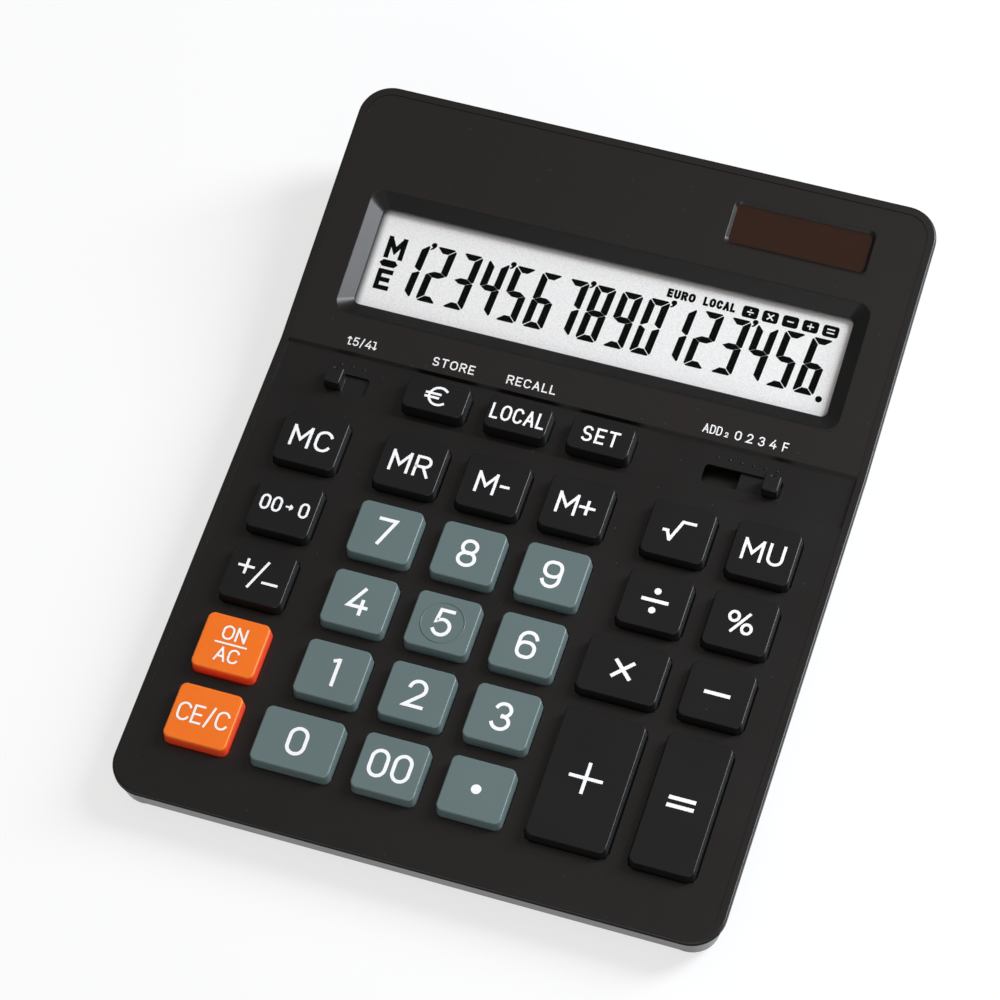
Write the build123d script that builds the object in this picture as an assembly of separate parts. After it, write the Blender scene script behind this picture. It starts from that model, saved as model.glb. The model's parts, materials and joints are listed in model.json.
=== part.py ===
from build123d import *
import os
from math import atan2, cos, degrees, radians, sin, sqrt, tan

# A wedge-shaped desk calculator: two moulded shells bent at a ridge, with a keypad face in front of
# it and a steeper display face behind. Lengths are millimetres and angles are degrees. On each face
# x runs across, y runs up the slope from the ridge and z stands off the rim, so a depth is measured
# down from the rim. The origin is on the table, under the middle of the case.

# Case
WIDTH = 153.0
KEYPAD_LENGTH = 129.2
DISPLAY_LENGTH = 73.5
KEYPAD_TILT = 2.5
DISPLAY_TILT = 11.7
FRONT_HEIGHT = 10.5
CORNER_RADIUS = 8.5
RIM_WIDTH = 2.1
RIM_ROUND = 0.6
PANEL_STEP = 0.2
PLATE = 1.6
REVEAL = 0.3
UNDERCUT = 12.5
WALL = 1.8
FLOOR = 1.8
BASE_LIFT = 1.2
BASE_EDGE = 0.8
LIP_DEPTH = 2.0
LIP_WALL = 1.0
SHELL_GAP = 0.3

# Switch channel, just in front of the ridge
BAND_LENGTH = 14.2
BAND_DEPTH = 1.0
BAND_RAMP = 35.0

# Keys
KEY_GAP_ACROSS = 5.5
KEY_GAP_ALONG = 4.93
WIDE_KEY_EXTRA = 4.0
COLUMN_MARGIN = 18.15
GROUP_GAP = 4.6
FIRST_ROW_MARGIN = 13.3
LAST_ROW_MARGIN = 22.4
BAND_KEY_MARGIN = 4.9
BAND_KEY_SHIFT = 0.3
KEY_HEIGHT = 3.0
KEY_DRAFT = 4.0
KEY_CORNER = 1.7
KEY_EDGE = 0.4
KEY_WALL = 1.4
KEY_CLEARANCE = 0.25
KEY_TRAVEL = 1.4
KEY_POST = 4.4
FLANGE_WIDTH = 1.1
FLANGE_THICKNESS = 0.8
CORNER_FLATS = 2
KEY_ROWS = (
    ("memory_clear", "memory_recall", "memory_minus", "memory_plus", "square_root", "mark_up"),
    ("backspace", "7", "8", "9", "divide", "percent"),
    ("sign", "4", "5", "6", "multiply", "minus"),
    ("all_clear", "1", "2", "3", "plus", "equals"),
    ("clear_entry", "0", "double_zero", "point"),
)
BAND_KEYS = ("euro", "local", "set")
WIDE_KEYS = ("0", "multiply", "plus")
TALL_KEYS = ("plus", "equals")

# Membrane and main board, under the keys
SEAT_GAP = 0.1
SHEET_GAP = 0.2
SHEET = 0.6
SHEET_MARGIN = 0.6
DOME_SIDES = 6
DOME_BASE = 9.0
DOME_TOP = 5.6
DOME_WALL = 0.5
BOARD = 1.2
BOARD_GAP = 0.5
BOARD_BACK = 5.0
CHIP_RADIUS = 6.5
CHIP_HEIGHT = 1.3
CAPACITOR_RADIUS = 2.5
CAPACITOR_LENGTH = 4.8

# Slide switches
DETENT_PITCH = 3.0
ROUNDING_PLACES = 3
DECIMAL_PLACES = 6
ROUNDING_MARGIN = 20.3
DECIMAL_MARGIN = 29.3
SWITCH_SHIFT = 0.9
KNOB_WIDTH = 4.2
KNOB_LENGTH = 4.8
KNOB_HEIGHT = 2.5
KNOB_ROUND = 0.5
KNOB_NOTCH = 0.9
KNOB_END_GAP = 0.45
KNOB_SIDE_GAP = 0.2
SLOT_CORNER = 1.0
SLIDER_LENGTH = 17.0
SLIDER_WIDTH = 9.0
SLIDER_THICKNESS = 0.8
WIPER_THICKNESS = 0.3
WIPER_WIDTH = 5.0
WIPER_LENGTH = 11.0

# Display: bezel, window, panel, frame and ribbon
DISPLAY_CENTRE = 27.9
BEZEL_RUN = 3.8
BEZEL_CORNER = 2.0
BEZEL_DEPTH = 2.6
BEZEL_LIP = 0.5
VIEW_MARGIN = 14.35
VIEW_HEIGHT = 27.1
VIEW_CORNER = 1.5
GLASS_MARGIN = 2.9
GLASS_GAP = 0.3
WINDOW_THICKNESS = 1.0
GLASS_SHEET = 1.1
GLASS_LEDGE = 2.5
FENCE = 1.2
HOLDER = 1.4
HOLDER_EAR = 2.6
RIBBON = 0.15
RIBBON_MARGIN = 15.0

# Solar cell
SOLAR_SIDE_MARGIN = 33.2
SOLAR_BACK_MARGIN = 14.8
SOLAR_WIDTH = 35.3
SOLAR_HEIGHT = 10.7
SOLAR_BEVEL = 0.8
SOLAR_DEPTH = 1.0
SOLAR_MARGIN = 1.4
SOLAR_THICKNESS = 1.1

# Button cell and its cover, in the floor under the display
CELL_X = -35.0
CELL_RADIUS = 5.8
CELL_HEIGHT = 3.05
POCKET_GAP = 0.8
POCKET_WALL = 1.4
CONTACT = 0.4
CONTACT_WIDTH = 4.0
CONTACT_RISE = 1.4
COVER_THICKNESS = 1.4
COVER_GAP = 0.25
COVER_LEDGE = 1.5
COVER_TAB = 8.0
COVER_MARGIN = 2.7
CABLE_WIDTH = 2.4
CABLE = 0.8

# Fasteners and feet
SHANK_RADIUS = 1.1
SHANK_SIDES = 8
SHANK_LENGTH = 5.6
COVER_SHANK_LENGTH = 3.6
HEAD_RADIUS = 2.0
HEAD_HEIGHT = 1.3
HEAD_GAP = 0.3
PILOT_GAP = 0.05
SHANK_GAP = 0.25
BOSS = 4.6
STANDOFF = 6.6
STANDOFF_WALL = 1.6
FRONT_SCREW_SIDE = 10.5
FRONT_SCREW_MARGIN = 6.9
BACK_SCREW_SIDE = 11.5
BACK_SCREW_MARGIN = 14.0
STAKE = 1.8
STAKE_GAP = 0.15
STAKE_SHOULDER = 1.0
STAKE_HEAD = 0.7
STAKE_SHARES = (0.17, 0.57, 0.96)
RIB_KEY_ROWS = (1, 3, 4)
RIB_THICKNESS = 1.2
RIB_MARGIN = 20.5
FOOT_WIDTH = 16.0
FOOT_LENGTH = 7.0
FOOT_RECESS = 0.6
FOOT_EDGE = 0.5
FOOT_GAP = 0.1
FRONT_FOOT_SIDE = 28.5
FRONT_FOOT_MARGIN = 12.0
BACK_FOOT_SIDE = 30.5
BACK_FOOT_MARGIN = 18.0

# Cutters run this far past what they cut
OVERRUN = 1.0

# The grid of keys, and what else lies on the faces
COLUMN_PITCH = (WIDTH - 2 * (COLUMN_MARGIN + GROUP_GAP)) / (len(KEY_ROWS[0]) - 1)
MEMORY_COLUMN = COLUMN_MARGIN - WIDTH / 2
DIGIT_COLUMN = MEMORY_COLUMN + COLUMN_PITCH + GROUP_GAP
OPERATOR_COLUMN = DIGIT_COLUMN + len(BAND_KEYS) * COLUMN_PITCH + GROUP_GAP
FIRST_ROW = BAND_LENGTH + FIRST_ROW_MARGIN
ROW_PITCH = (KEYPAD_LENGTH - FIRST_ROW - LAST_ROW_MARGIN) / (len(KEY_ROWS) - 1)
KEY_WIDTH = COLUMN_PITCH - KEY_GAP_ACROSS
KEY_LENGTH = ROW_PITCH - KEY_GAP_ALONG
BAND_ROW = BAND_LENGTH / 2 + BAND_KEY_SHIFT
BAND_KEY_LENGTH = BAND_LENGTH - BAND_KEY_MARGIN
SWITCH_ROW = BAND_LENGTH / 2 + SWITCH_SHIFT
VIEW_WIDTH = WIDTH - 2 * VIEW_MARGIN
GLASS_WIDTH = VIEW_WIDTH + 2 * GLASS_MARGIN
GLASS_HEIGHT = VIEW_HEIGHT + 2 * GLASS_MARGIN
RIBBON_WIDTH = GLASS_WIDTH - 2 * RIBBON_MARGIN
SOLAR_X = WIDTH / 2 - SOLAR_SIDE_MARGIN
SOLAR_Y = DISPLAY_LENGTH - SOLAR_BACK_MARGIN

# Levels under the keypad face, from the rim down
FLANGE_TOP = PLATE + SEAT_GAP
FLANGE_BOTTOM = FLANGE_TOP + FLANGE_THICKNESS
SHEET_TOP = FLANGE_BOTTOM + KEY_TRAVEL + SHEET_GAP
BOARD_TOP = SHEET_TOP + SHEET
BOARD_BOTTOM = BOARD_TOP + BOARD

# Levels under the display face, from the rim down
WINDOW_TOP = BEZEL_DEPTH + BEZEL_LIP
PANEL_TOP = WINDOW_TOP + WINDOW_THICKNESS
PANEL_BOTTOM = PANEL_TOP + 2 * GLASS_SHEET
HOLDER_BOTTOM = PANEL_BOTTOM + HOLDER

# Levels above the table
FLOOR_TOP = BASE_LIFT + FLOOR
STANDOFF_TOP = FLOOR_TOP + STANDOFF_WALL

# The two faces, and the mitre between them at the ridge
keypad_slope, display_slope = radians(KEYPAD_TILT), radians(DISPLAY_TILT)
mitre_slope = (keypad_slope + display_slope) / 2
front_reach = KEYPAD_LENGTH * cos(keypad_slope)
front_reach -= RIM_ROUND * (cos(keypad_slope) + sin(keypad_slope) - 1)
back_reach = DISPLAY_LENGTH * cos(display_slope) + PLATE * sin(display_slope)
FRONT_Y, BACK_Y = -(front_reach + back_reach) / 2, (front_reach + back_reach) / 2
RIDGE = Vector(0, FRONT_Y + front_reach, FRONT_HEIGHT + KEYPAD_LENGTH * sin(keypad_slope))
KEYPAD = Plane(RIDGE, x_dir=(1, 0, 0), z_dir=(0, -sin(keypad_slope), cos(keypad_slope)))
DISPLAY = Plane(RIDGE, x_dir=(1, 0, 0), z_dir=(0, -sin(display_slope), cos(display_slope)))
MITRE = Plane(RIDGE, x_dir=(1, 0, 0), z_dir=(0, cos(mitre_slope), sin(mitre_slope)))
TOP_Z = RIDGE.Z + DISPLAY_LENGTH * sin(display_slope)
DEEP = TOP_Z / cos(display_slope)


def bent(inset, top, bottom, draft=0.0, edge_round=0.0, flat_corners=False):
    """A slab that follows both faces between two depths, its outline inset from the case's own."""
    depth = bottom - top
    corner = CORNER_RADIUS - inset
    past_ridge = CORNER_RADIUS + depth * (tan(radians(draft)) + tan(display_slope)) + OVERRUN
    halves = []
    for face, length, way, keep in (
        (KEYPAD, KEYPAD_LENGTH, -1, Keep.BOTTOM),
        (DISPLAY, DISPLAY_LENGTH, 1, Keep.TOP),
    ):
        reach = length - inset + past_ridge
        middle = way * (length - inset - past_ridge) / 2
        outline = Pos(0, -middle, top) * Rectangle(WIDTH - 2 * inset, reach)
        block = Rot(180, 0, 0) * extrude(outline, depth, taper=draft)
        ends = block.faces().sort_by(Axis.Z)
        uprights = block.edges() - ends[0].edges() - ends[-1].edges()
        block = chamfer(uprights, (2 - sqrt(2)) * corner) if flat_corners else fillet(uprights, corner)
        if edge_round:
            block = fillet(block.faces().sort_by(Axis.Z)[-1].edges(), edge_round)
        halves.append(split(face.location * block, bisect_by=MITRE, keep=keep))
    return halves[0] + halves[1]


def slab(width, length, top, bottom):
    """A flat plate between two depths of a face, centred on the face's origin."""
    return extrude(Pos(0, 0, -top) * Rectangle(width, length), top - bottom)


def funnel(width, length, run, corner, top, bottom):
    """A recess with rounded corners that narrows by run on each side from one depth to another."""
    outline = Pos(0, 0, top) * Rectangle(width + 2 * run, length + 2 * run)
    block = Rot(180, 0, 0) * extrude(outline, bottom - top, taper=degrees(atan2(run, bottom - top)))
    ends = block.faces().sort_by(Axis.Z)
    return fillet(block.edges() - ends[0].edges() - ends[-1].edges(), corner)


def eased_rectangle(width, length, corner):
    """A rectangle with each corner rounded off by a few flats."""
    points = []
    for quarter, (x_side, y_side) in enumerate(((1, 1), (-1, 1), (-1, -1), (1, -1))):
        for step in range(CORNER_FLATS + 1):
            angle = radians(90 * (quarter + step / CORNER_FLATS))
            x = x_side * (width / 2 - corner) + corner * cos(angle)
            points.append((x, y_side * (length / 2 - corner) + corner * sin(angle)))
    return Polygon(*points, align=None)


def rod(radius, low, high):
    """A round bar on the Z axis between two heights."""
    return Pos(0, 0, low) * Cylinder(radius, high - low, align=(Align.CENTER, Align.CENTER, Align.MIN))


def shank(radius, low, high):
    """A screw's shank, or its hole, on the Z axis between two heights, drawn with a few flats."""
    return extrude(Pos(0, 0, low) * RegularPolygon(radius, SHANK_SIDES), high - low)


def strip(points, thickness, width):
    """A flat strip of even height bent along points in the YZ plane, its upper face on the points."""
    lower = [(y, z - thickness) for y, z in reversed(points)]
    return extrude(Plane.YZ * Polygon(*points, *lower, align=None), width / 2, both=True)


def on_face(face, x, y, depth=0.0):
    """Where a place on a face lies, as a point."""
    return (face.location * Pos(x, y, -depth)).position


def key_places():
    """Each key's node, with the middle of its top on the keypad face, its width and its length."""
    digit_columns = [DIGIT_COLUMN + n * COLUMN_PITCH for n in range(3)]
    columns = [MEMORY_COLUMN, *digit_columns, OPERATOR_COLUMN, OPERATOR_COLUMN + COLUMN_PITCH]
    places = {}
    for name, x in zip(BAND_KEYS, digit_columns):
        places["key_" + name] = (x, -BAND_ROW, KEY_WIDTH, BAND_KEY_LENGTH)
    for row, names in enumerate(KEY_ROWS):
        for name, x in zip(names, columns):
            wider = WIDE_KEY_EXTRA if name in WIDE_KEYS else 0.0
            longer = ROW_PITCH if name in TALL_KEYS else 0.0
            y = -(FIRST_ROW + row * ROW_PITCH + longer / 2)
            places["key_" + name] = (x - wider / 2, y, KEY_WIDTH + wider, KEY_LENGTH + longer)
    return places


def switch_places():
    """Each slide switch's name, with its slot's middle, its travel and its knob's place at rest."""
    places = {}
    for name, x, count, way in (
        ("rounding_switch", ROUNDING_MARGIN - WIDTH / 2, ROUNDING_PLACES, -1),
        ("decimal_switch", WIDTH / 2 - DECIMAL_MARGIN, DECIMAL_PLACES, 1),
    ):
        travel = (count - 1) * DETENT_PITCH
        places[name] = (x, travel, x + way * travel / 2)
    return places


KEYS = key_places()
SWITCHES = switch_places()
KEY_RUN = KEY_HEIGHT + FLANGE_TOP
KEY_SPREAD = KEY_RUN * tan(radians(KEY_DRAFT))
BOARD_HALF = WIDTH / 2 - REVEAL - WALL - (BOARD_BOTTOM - PLATE) * tan(radians(UNDERCUT)) - BOARD_GAP
SHEET_EDGE = KEY_SPREAD + FLANGE_WIDTH + SHEET_MARGIN
BOARD_FRONT = max(length / 2 - y for _, y, _, length in KEYS.values()) + SHEET_EDGE
EAR_X = GLASS_WIDTH / 2 + GLASS_GAP + FENCE + HOLDER_EAR
CASE_SCREWS = [
    *[(side * (WIDTH / 2 - FRONT_SCREW_SIDE), FRONT_Y + FRONT_SCREW_MARGIN) for side in (-1, 1)],
    *[(side * (WIDTH / 2 - BACK_SCREW_SIDE), BACK_Y - BACK_SCREW_MARGIN) for side in (-1, 1)],
]
FEET = [
    *[(side * (WIDTH / 2 - FRONT_FOOT_SIDE), FRONT_Y + FRONT_FOOT_MARGIN) for side in (-1, 1)],
    *[(side * (WIDTH / 2 - BACK_FOOT_SIDE), BACK_Y - BACK_FOOT_MARGIN) for side in (-1, 1)],
]
STAKE_X = BOARD_HALF - STAKE / 2 - STAKE_SHOULDER - BOARD_GAP
BOARD_STAKES = [(side * STAKE_X, -share * BOARD_FRONT) for side in (-1, 1) for share in STAKE_SHARES]
HOLDER_STAKES = [(side * EAR_X, DISPLAY_CENTRE) for side in (-1, 1)]

# The button cell stands in a pocket of the floor, with the cover under it and the contacts beside it
POCKET_HALF = CELL_RADIUS + POCKET_GAP
COVER_BACK = BACK_Y - BACK_FOOT_MARGIN - FOOT_LENGTH / 2 - FOOT_GAP - COVER_MARGIN
POCKET_X, POCKET_Y = CELL_X, COVER_BACK - COVER_LEDGE - POCKET_HALF
COVER_TOP = BASE_LIFT + COVER_THICKNESS
CELL_BOTTOM = FLOOR_TOP + POCKET_GAP
CELL_TOP = CELL_BOTTOM + CELL_HEIGHT
POCKET_ROOF = CELL_TOP + CONTACT
CONTACT_TOP = POCKET_ROOF + POCKET_WALL + CONTACT_RISE
COVER_SCREW_Y = POCKET_Y - POCKET_HALF - COVER_LEDGE - COVER_TAB / 2


def key_cap(width, length):
    """A hollow drafted cap, with a flange that keeps it in the case and a post over its dome."""
    foot = eased_rectangle(width + 2 * KEY_SPREAD, length + 2 * KEY_SPREAD, KEY_CORNER + KEY_SPREAD)
    cap = extrude(Pos(0, 0, -FLANGE_TOP) * foot, KEY_RUN, taper=KEY_DRAFT)
    cap = chamfer(cap.faces().sort_by(Axis.Z)[-1].edges(), KEY_EDGE)
    grow = 2 * (KEY_SPREAD + FLANGE_WIDTH)
    cap += slab(width + grow, length + grow, FLANGE_TOP, FLANGE_BOTTOM)
    cap -= slab(width - 2 * KEY_WALL, length - 2 * KEY_WALL, KEY_WALL - KEY_HEIGHT, FLANGE_BOTTOM)
    return cap + slab(KEY_POST, KEY_POST, KEY_WALL - KEY_HEIGHT, FLANGE_BOTTOM)


def key_opening(width, length):
    """The hole that a key passes through."""
    grow = KEY_SPREAD + KEY_CLEARANCE
    outline = eased_rectangle(width + 2 * grow, length + 2 * grow, KEY_CORNER + grow)
    return extrude(Pos(0, 0, OVERRUN) * outline, -(PLATE + 2 * OVERRUN))


def band_channel():
    """The channel across the panel that holds three keys and both switches, ramped up to the ridge."""
    climb = BAND_DEPTH + OVERRUN
    profile = Polygon(
        (-BAND_LENGTH, OVERRUN),
        (-BAND_LENGTH, -BAND_DEPTH),
        (0, -BAND_DEPTH),
        (climb * tan(radians(BAND_RAMP)), OVERRUN),
        align=None,
    )
    return extrude(Plane.YZ * profile, WIDTH / 2 - RIM_WIDTH, both=True)


def bezel_frame():
    """The wall under the display panel that the window and the glass lie in."""
    grow = 2 * (GLASS_GAP + FENCE)
    return slab(GLASS_WIDTH + grow, GLASS_HEIGHT + grow, PLATE - OVERRUN, PANEL_BOTTOM)


def bezel_cut():
    """The sloping bezel, the view through it, the seat of window and glass, and the ribbon's way out."""
    cut = funnel(VIEW_WIDTH, VIEW_HEIGHT, BEZEL_RUN, BEZEL_CORNER, PANEL_STEP, BEZEL_DEPTH)
    view = RectangleRounded(VIEW_WIDTH, VIEW_HEIGHT, VIEW_CORNER)
    cut += extrude(Pos(0, 0, -BEZEL_DEPTH) * view, -(BEZEL_LIP + OVERRUN))
    seat_width, seat_length = GLASS_WIDTH + 2 * GLASS_GAP, GLASS_HEIGHT + 2 * GLASS_GAP
    cut += slab(seat_width, seat_length, WINDOW_TOP, PANEL_BOTTOM + OVERRUN)
    depth = 2 * (FENCE + GLASS_GAP) + GLASS_LEDGE
    way_out = slab(RIBBON_WIDTH + 2 * GLASS_GAP, depth, PANEL_TOP + GLASS_GAP, PANEL_BOTTOM + OVERRUN)
    return cut + Pos(0, -GLASS_HEIGHT / 2, 0) * way_out


def solar_cut():
    """The bevelled recess over the solar cell and the seat of its window, cut from below."""
    cut = funnel(SOLAR_WIDTH, SOLAR_HEIGHT, SOLAR_BEVEL, SLOT_CORNER, PANEL_STEP, SOLAR_DEPTH)
    seat = 2 * (SOLAR_MARGIN + GLASS_GAP)
    return cut + slab(SOLAR_WIDTH + seat, SOLAR_HEIGHT + seat, SOLAR_DEPTH, PLATE + OVERRUN)


def stake(shoulder, seat):
    """A post with a shoulder, its pin through the piece that it holds, and the pin's melted head."""
    wide = STAKE + 2 * STAKE_SHOULDER
    post = slab(wide, wide, PLATE / 2, shoulder)
    post += slab(STAKE, STAKE, shoulder, seat)
    return post + slab(wide, wide, seat, seat + STAKE_HEAD)


def stake_hole(shoulder, seat):
    """The hole for a stake's pin."""
    return slab(STAKE + 2 * STAKE_GAP, STAKE + 2 * STAKE_GAP, shoulder - OVERRUN, seat + OVERRUN)


def upper_case():
    """The top shell: a bent plate with its rim, channel, openings, bezel, lip, bosses and stakes."""
    shell = bent(0, 0, PLATE, edge_round=RIM_ROUND)
    lip_inset = REVEAL + WALL + SHELL_GAP
    lip = bent(lip_inset, PLATE, PLATE + LIP_DEPTH, draft=UNDERCUT, flat_corners=True)
    shell += lip - bent(lip_inset + LIP_WALL, PLATE, PLATE + LIP_DEPTH, draft=UNDERCUT, flat_corners=True)
    shell += DISPLAY.location * Pos(0, DISPLAY_CENTRE, 0) * bezel_frame()
    under = bent(RIM_WIDTH, PLATE / 2, DEEP)
    boss = slab(BOSS, BOSS, -TOP_Z, -STANDOFF_TOP)
    shell += [Pos(x, y, 0) * boss & under for x, y in CASE_SCREWS]
    board_stake, holder_stake = stake(BOARD_TOP, BOARD_BOTTOM), stake(PANEL_BOTTOM, HOLDER_BOTTOM)
    shell += [KEYPAD.location * Pos(x, y, 0) * board_stake for x, y in BOARD_STAKES]
    shell += [DISPLAY.location * Pos(x, y, 0) * holder_stake for x, y in HOLDER_STAKES]
    shell -= bent(RIM_WIDTH, -OVERRUN, PANEL_STEP)
    shell -= KEYPAD.location * band_channel()
    shell -= [KEYPAD.location * Pos(x, y, 0) * key_opening(w, l) for x, y, w, l in KEYS.values()]
    for x, travel, _ in SWITCHES.values():
        slot_length = travel + KNOB_WIDTH + 2 * KNOB_END_GAP
        slot = eased_rectangle(slot_length, KNOB_LENGTH + 2 * KNOB_SIDE_GAP, SLOT_CORNER)
        shell -= KEYPAD.location * Pos(x, -SWITCH_ROW, 0) * extrude(slot, PLATE + OVERRUN, both=True)
    shell -= DISPLAY.location * Pos(0, DISPLAY_CENTRE, 0) * bezel_cut()
    shell -= DISPLAY.location * Pos(SOLAR_X, SOLAR_Y, 0) * solar_cut()
    pilot = shank(SHANK_RADIUS + PILOT_GAP, STANDOFF_TOP - OVERRUN, FLOOR_TOP + SHANK_LENGTH + SHELL_GAP)
    return shell - [Pos(x, y, 0) * pilot for x, y in CASE_SCREWS]


def cell_pocket():
    """The raised box of the floor over the button cell, and the boss of the cover's screw."""
    size = 2 * (POCKET_HALF + POCKET_WALL)
    box = Pos(POCKET_X, POCKET_Y, 0) * slab(size, size, -(POCKET_ROOF + POCKET_WALL), -BASE_LIFT)
    return box + Pos(POCKET_X, COVER_SCREW_Y, 0) * slab(STANDOFF, STANDOFF, -POCKET_ROOF, -BASE_LIFT)


def cover_outline(gap):
    """The cover's plan: a square under the cell with a tab for its screw."""
    half = POCKET_HALF + COVER_LEDGE - gap
    plan = Pos(POCKET_X, POCKET_Y) * Rectangle(2 * half, 2 * half)
    tab_length = COVER_TAB + half
    tab_middle = POCKET_Y - half - COVER_TAB + tab_length / 2 + gap
    return plan + Pos(POCKET_X, tab_middle) * Rectangle(STANDOFF - 2 * gap, tab_length)


def cell_pocket_cut():
    """The cell's space, the cover's recess, the slots for the contacts and the screw's pilot hole."""
    cut = Pos(POCKET_X, POCKET_Y, 0) * slab(2 * POCKET_HALF, 2 * POCKET_HALF, -POCKET_ROOF, OVERRUN)
    cut += extrude(Pos(0, 0, -OVERRUN) * cover_outline(0.0), COVER_TOP + OVERRUN)
    slot = slab(CONTACT_WIDTH + 2 * COVER_GAP, CONTACT + COVER_GAP, -CONTACT_TOP, -POCKET_ROOF + OVERRUN)
    for way in (-1, 1):
        cut += Pos(POCKET_X, POCKET_Y + way * (POCKET_HALF - (CONTACT + COVER_GAP) / 2), 0) * slot
    pilot = shank(SHANK_RADIUS + PILOT_GAP, 0, BASE_LIFT + HEAD_HEIGHT + COVER_SHANK_LENGTH)
    return cut + Pos(POCKET_X, COVER_SCREW_Y, 0) * pilot


def lower_case():
    """The undercut tub: floor, board ribs, screw standoffs, cell pocket and foot recesses."""
    tub = bent(REVEAL, PLATE, DEEP, draft=UNDERCUT)
    tub = split(tub, bisect_by=Plane.XY.offset(BASE_LIFT), keep=Keep.TOP)
    tub = chamfer(tub.faces().sort_by(Axis.Z)[0].edges(), BASE_EDGE)
    hollow = bent(REVEAL + WALL, PLATE, DEEP, draft=UNDERCUT, flat_corners=True)
    tub -= split(hollow, bisect_by=Plane.XY.offset(FLOOR_TOP), keep=Keep.TOP)
    below_board = bent(RIM_WIDTH, BOARD_BOTTOM + SHELL_GAP, DEEP)
    rib = slab(WIDTH - 2 * RIB_MARGIN, RIB_THICKNESS, -TOP_Z, -BASE_LIFT)
    for row in RIB_KEY_ROWS:
        tub += Pos(0, on_face(KEYPAD, 0, -(FIRST_ROW + row * ROW_PITCH)).Y, 0) * rib & below_board
    standoff = slab(STANDOFF, STANDOFF, -STANDOFF_TOP, -BASE_LIFT)
    tub += [Pos(x, y, 0) * standoff for x, y in CASE_SCREWS]
    tub += cell_pocket()
    tub -= cell_pocket_cut()
    screw_way = rod(HEAD_RADIUS + HEAD_GAP, 0, FLOOR_TOP)
    screw_way += shank(SHANK_RADIUS + SHANK_GAP, 0, STANDOFF_TOP + OVERRUN)
    tub -= [Pos(x, y, 0) * screw_way for x, y in CASE_SCREWS]
    recess = slab(FOOT_WIDTH + 2 * FOOT_GAP, FOOT_LENGTH + 2 * FOOT_GAP, -(BASE_LIFT + FOOT_RECESS), 0)
    return tub - [Pos(x, y, 0) * recess for x, y in FEET]


def key_membrane():
    """One silicone sheet on the board, with a hollow dome under each key."""
    grid = [place for node, place in KEYS.items() if node[4:] not in BAND_KEYS]
    band = [KEYS["key_" + name] for name in BAND_KEYS]
    grid_back = max(y + l / 2 for _, y, _, l in grid) + SHEET_EDGE
    limit = STAKE_X - STAKE / 2 - STAKE_SHOULDER - SHEET_GAP
    sheet = Part()
    for keys, back in ((grid, grid_back), (band, -SHEET_MARGIN)):
        left = max(min(x - w / 2 for x, _, w, _ in keys) - SHEET_EDGE, -limit)
        right = min(max(x + w / 2 for x, _, w, _ in keys) + SHEET_EDGE, limit)
        plan = slab(right - left, back + BOARD_FRONT, SHEET_TOP, BOARD_TOP)
        sheet += Pos((left + right) / 2, (back - BOARD_FRONT) / 2, 0) * plan
    rise = SHEET_TOP - FLANGE_BOTTOM - SEAT_GAP
    lean = degrees(atan2((DOME_BASE - DOME_TOP) / 2, rise))
    outer = RegularPolygon(DOME_BASE / 2, DOME_SIDES)
    inner = RegularPolygon(DOME_BASE / 2 - DOME_WALL, DOME_SIDES)
    dome = extrude(Pos(0, 0, -SHEET_TOP) * outer, rise, taper=lean)
    hollow = extrude(Pos(0, 0, -BOARD_TOP) * inner, SHEET + rise - DOME_WALL, taper=lean)
    sheet += [Pos(x, y, 0) * dome for x, y, _, _ in KEYS.values()]
    return KEYPAD.location * (sheet - [Pos(x, y, 0) * hollow for x, y, _, _ in KEYS.values()])


def main_board():
    """The board under the membrane, with holes for the stakes that hold it."""
    plan = slab(2 * BOARD_HALF, BOARD_FRONT + BOARD_BACK, BOARD_TOP, BOARD_BOTTOM)
    board = Pos(0, (BOARD_BACK - BOARD_FRONT) / 2, 0) * plan
    hole = stake_hole(BOARD_TOP, BOARD_BOTTOM)
    return KEYPAD.location * (board - [Pos(x, y, 0) * hole for x, y in BOARD_STAKES])


def controller_chip():
    """The resin cap over the controller, under the board between the second and third rows of keys."""
    cap = rod(CHIP_RADIUS, -BOARD_BOTTOM - CHIP_HEIGHT, -BOARD_BOTTOM)
    return KEYPAD.location * Pos(DIGIT_COLUMN + COLUMN_PITCH, -(FIRST_ROW + 2 * ROW_PITCH), 0) * cap


def storage_capacitor():
    """The can that carries the part through a shadow, standing under the board near the ridge."""
    can = rod(CAPACITOR_RADIUS, -BOARD_BOTTOM - CAPACITOR_LENGTH, -BOARD_BOTTOM)
    return KEYPAD.location * Pos(OPERATOR_COLUMN, -SWITCH_ROW, 0) * can


def switch_slider(rest_x):
    """A knob through the slot, with a pointer notch, on a plate that slides under the channel."""
    outline = eased_rectangle(KNOB_WIDTH, KNOB_LENGTH, KNOB_ROUND)
    knob = extrude(Pos(0, 0, -FLANGE_TOP) * outline, FLANGE_TOP + KNOB_HEIGHT)
    knob = chamfer(knob.faces().sort_by(Axis.Z)[-1].edges(), KNOB_ROUND / 2)
    notch = Pos(0, KNOB_LENGTH / 2, KNOB_HEIGHT) * Box(KNOB_NOTCH, 2 * KNOB_NOTCH, KNOB_NOTCH)
    plate = slab(SLIDER_LENGTH, SLIDER_WIDTH, FLANGE_TOP, FLANGE_TOP + SLIDER_THICKNESS)
    return KEYPAD.location * Pos(rest_x, -SWITCH_ROW, 0) * (knob - notch + plate)


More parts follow.
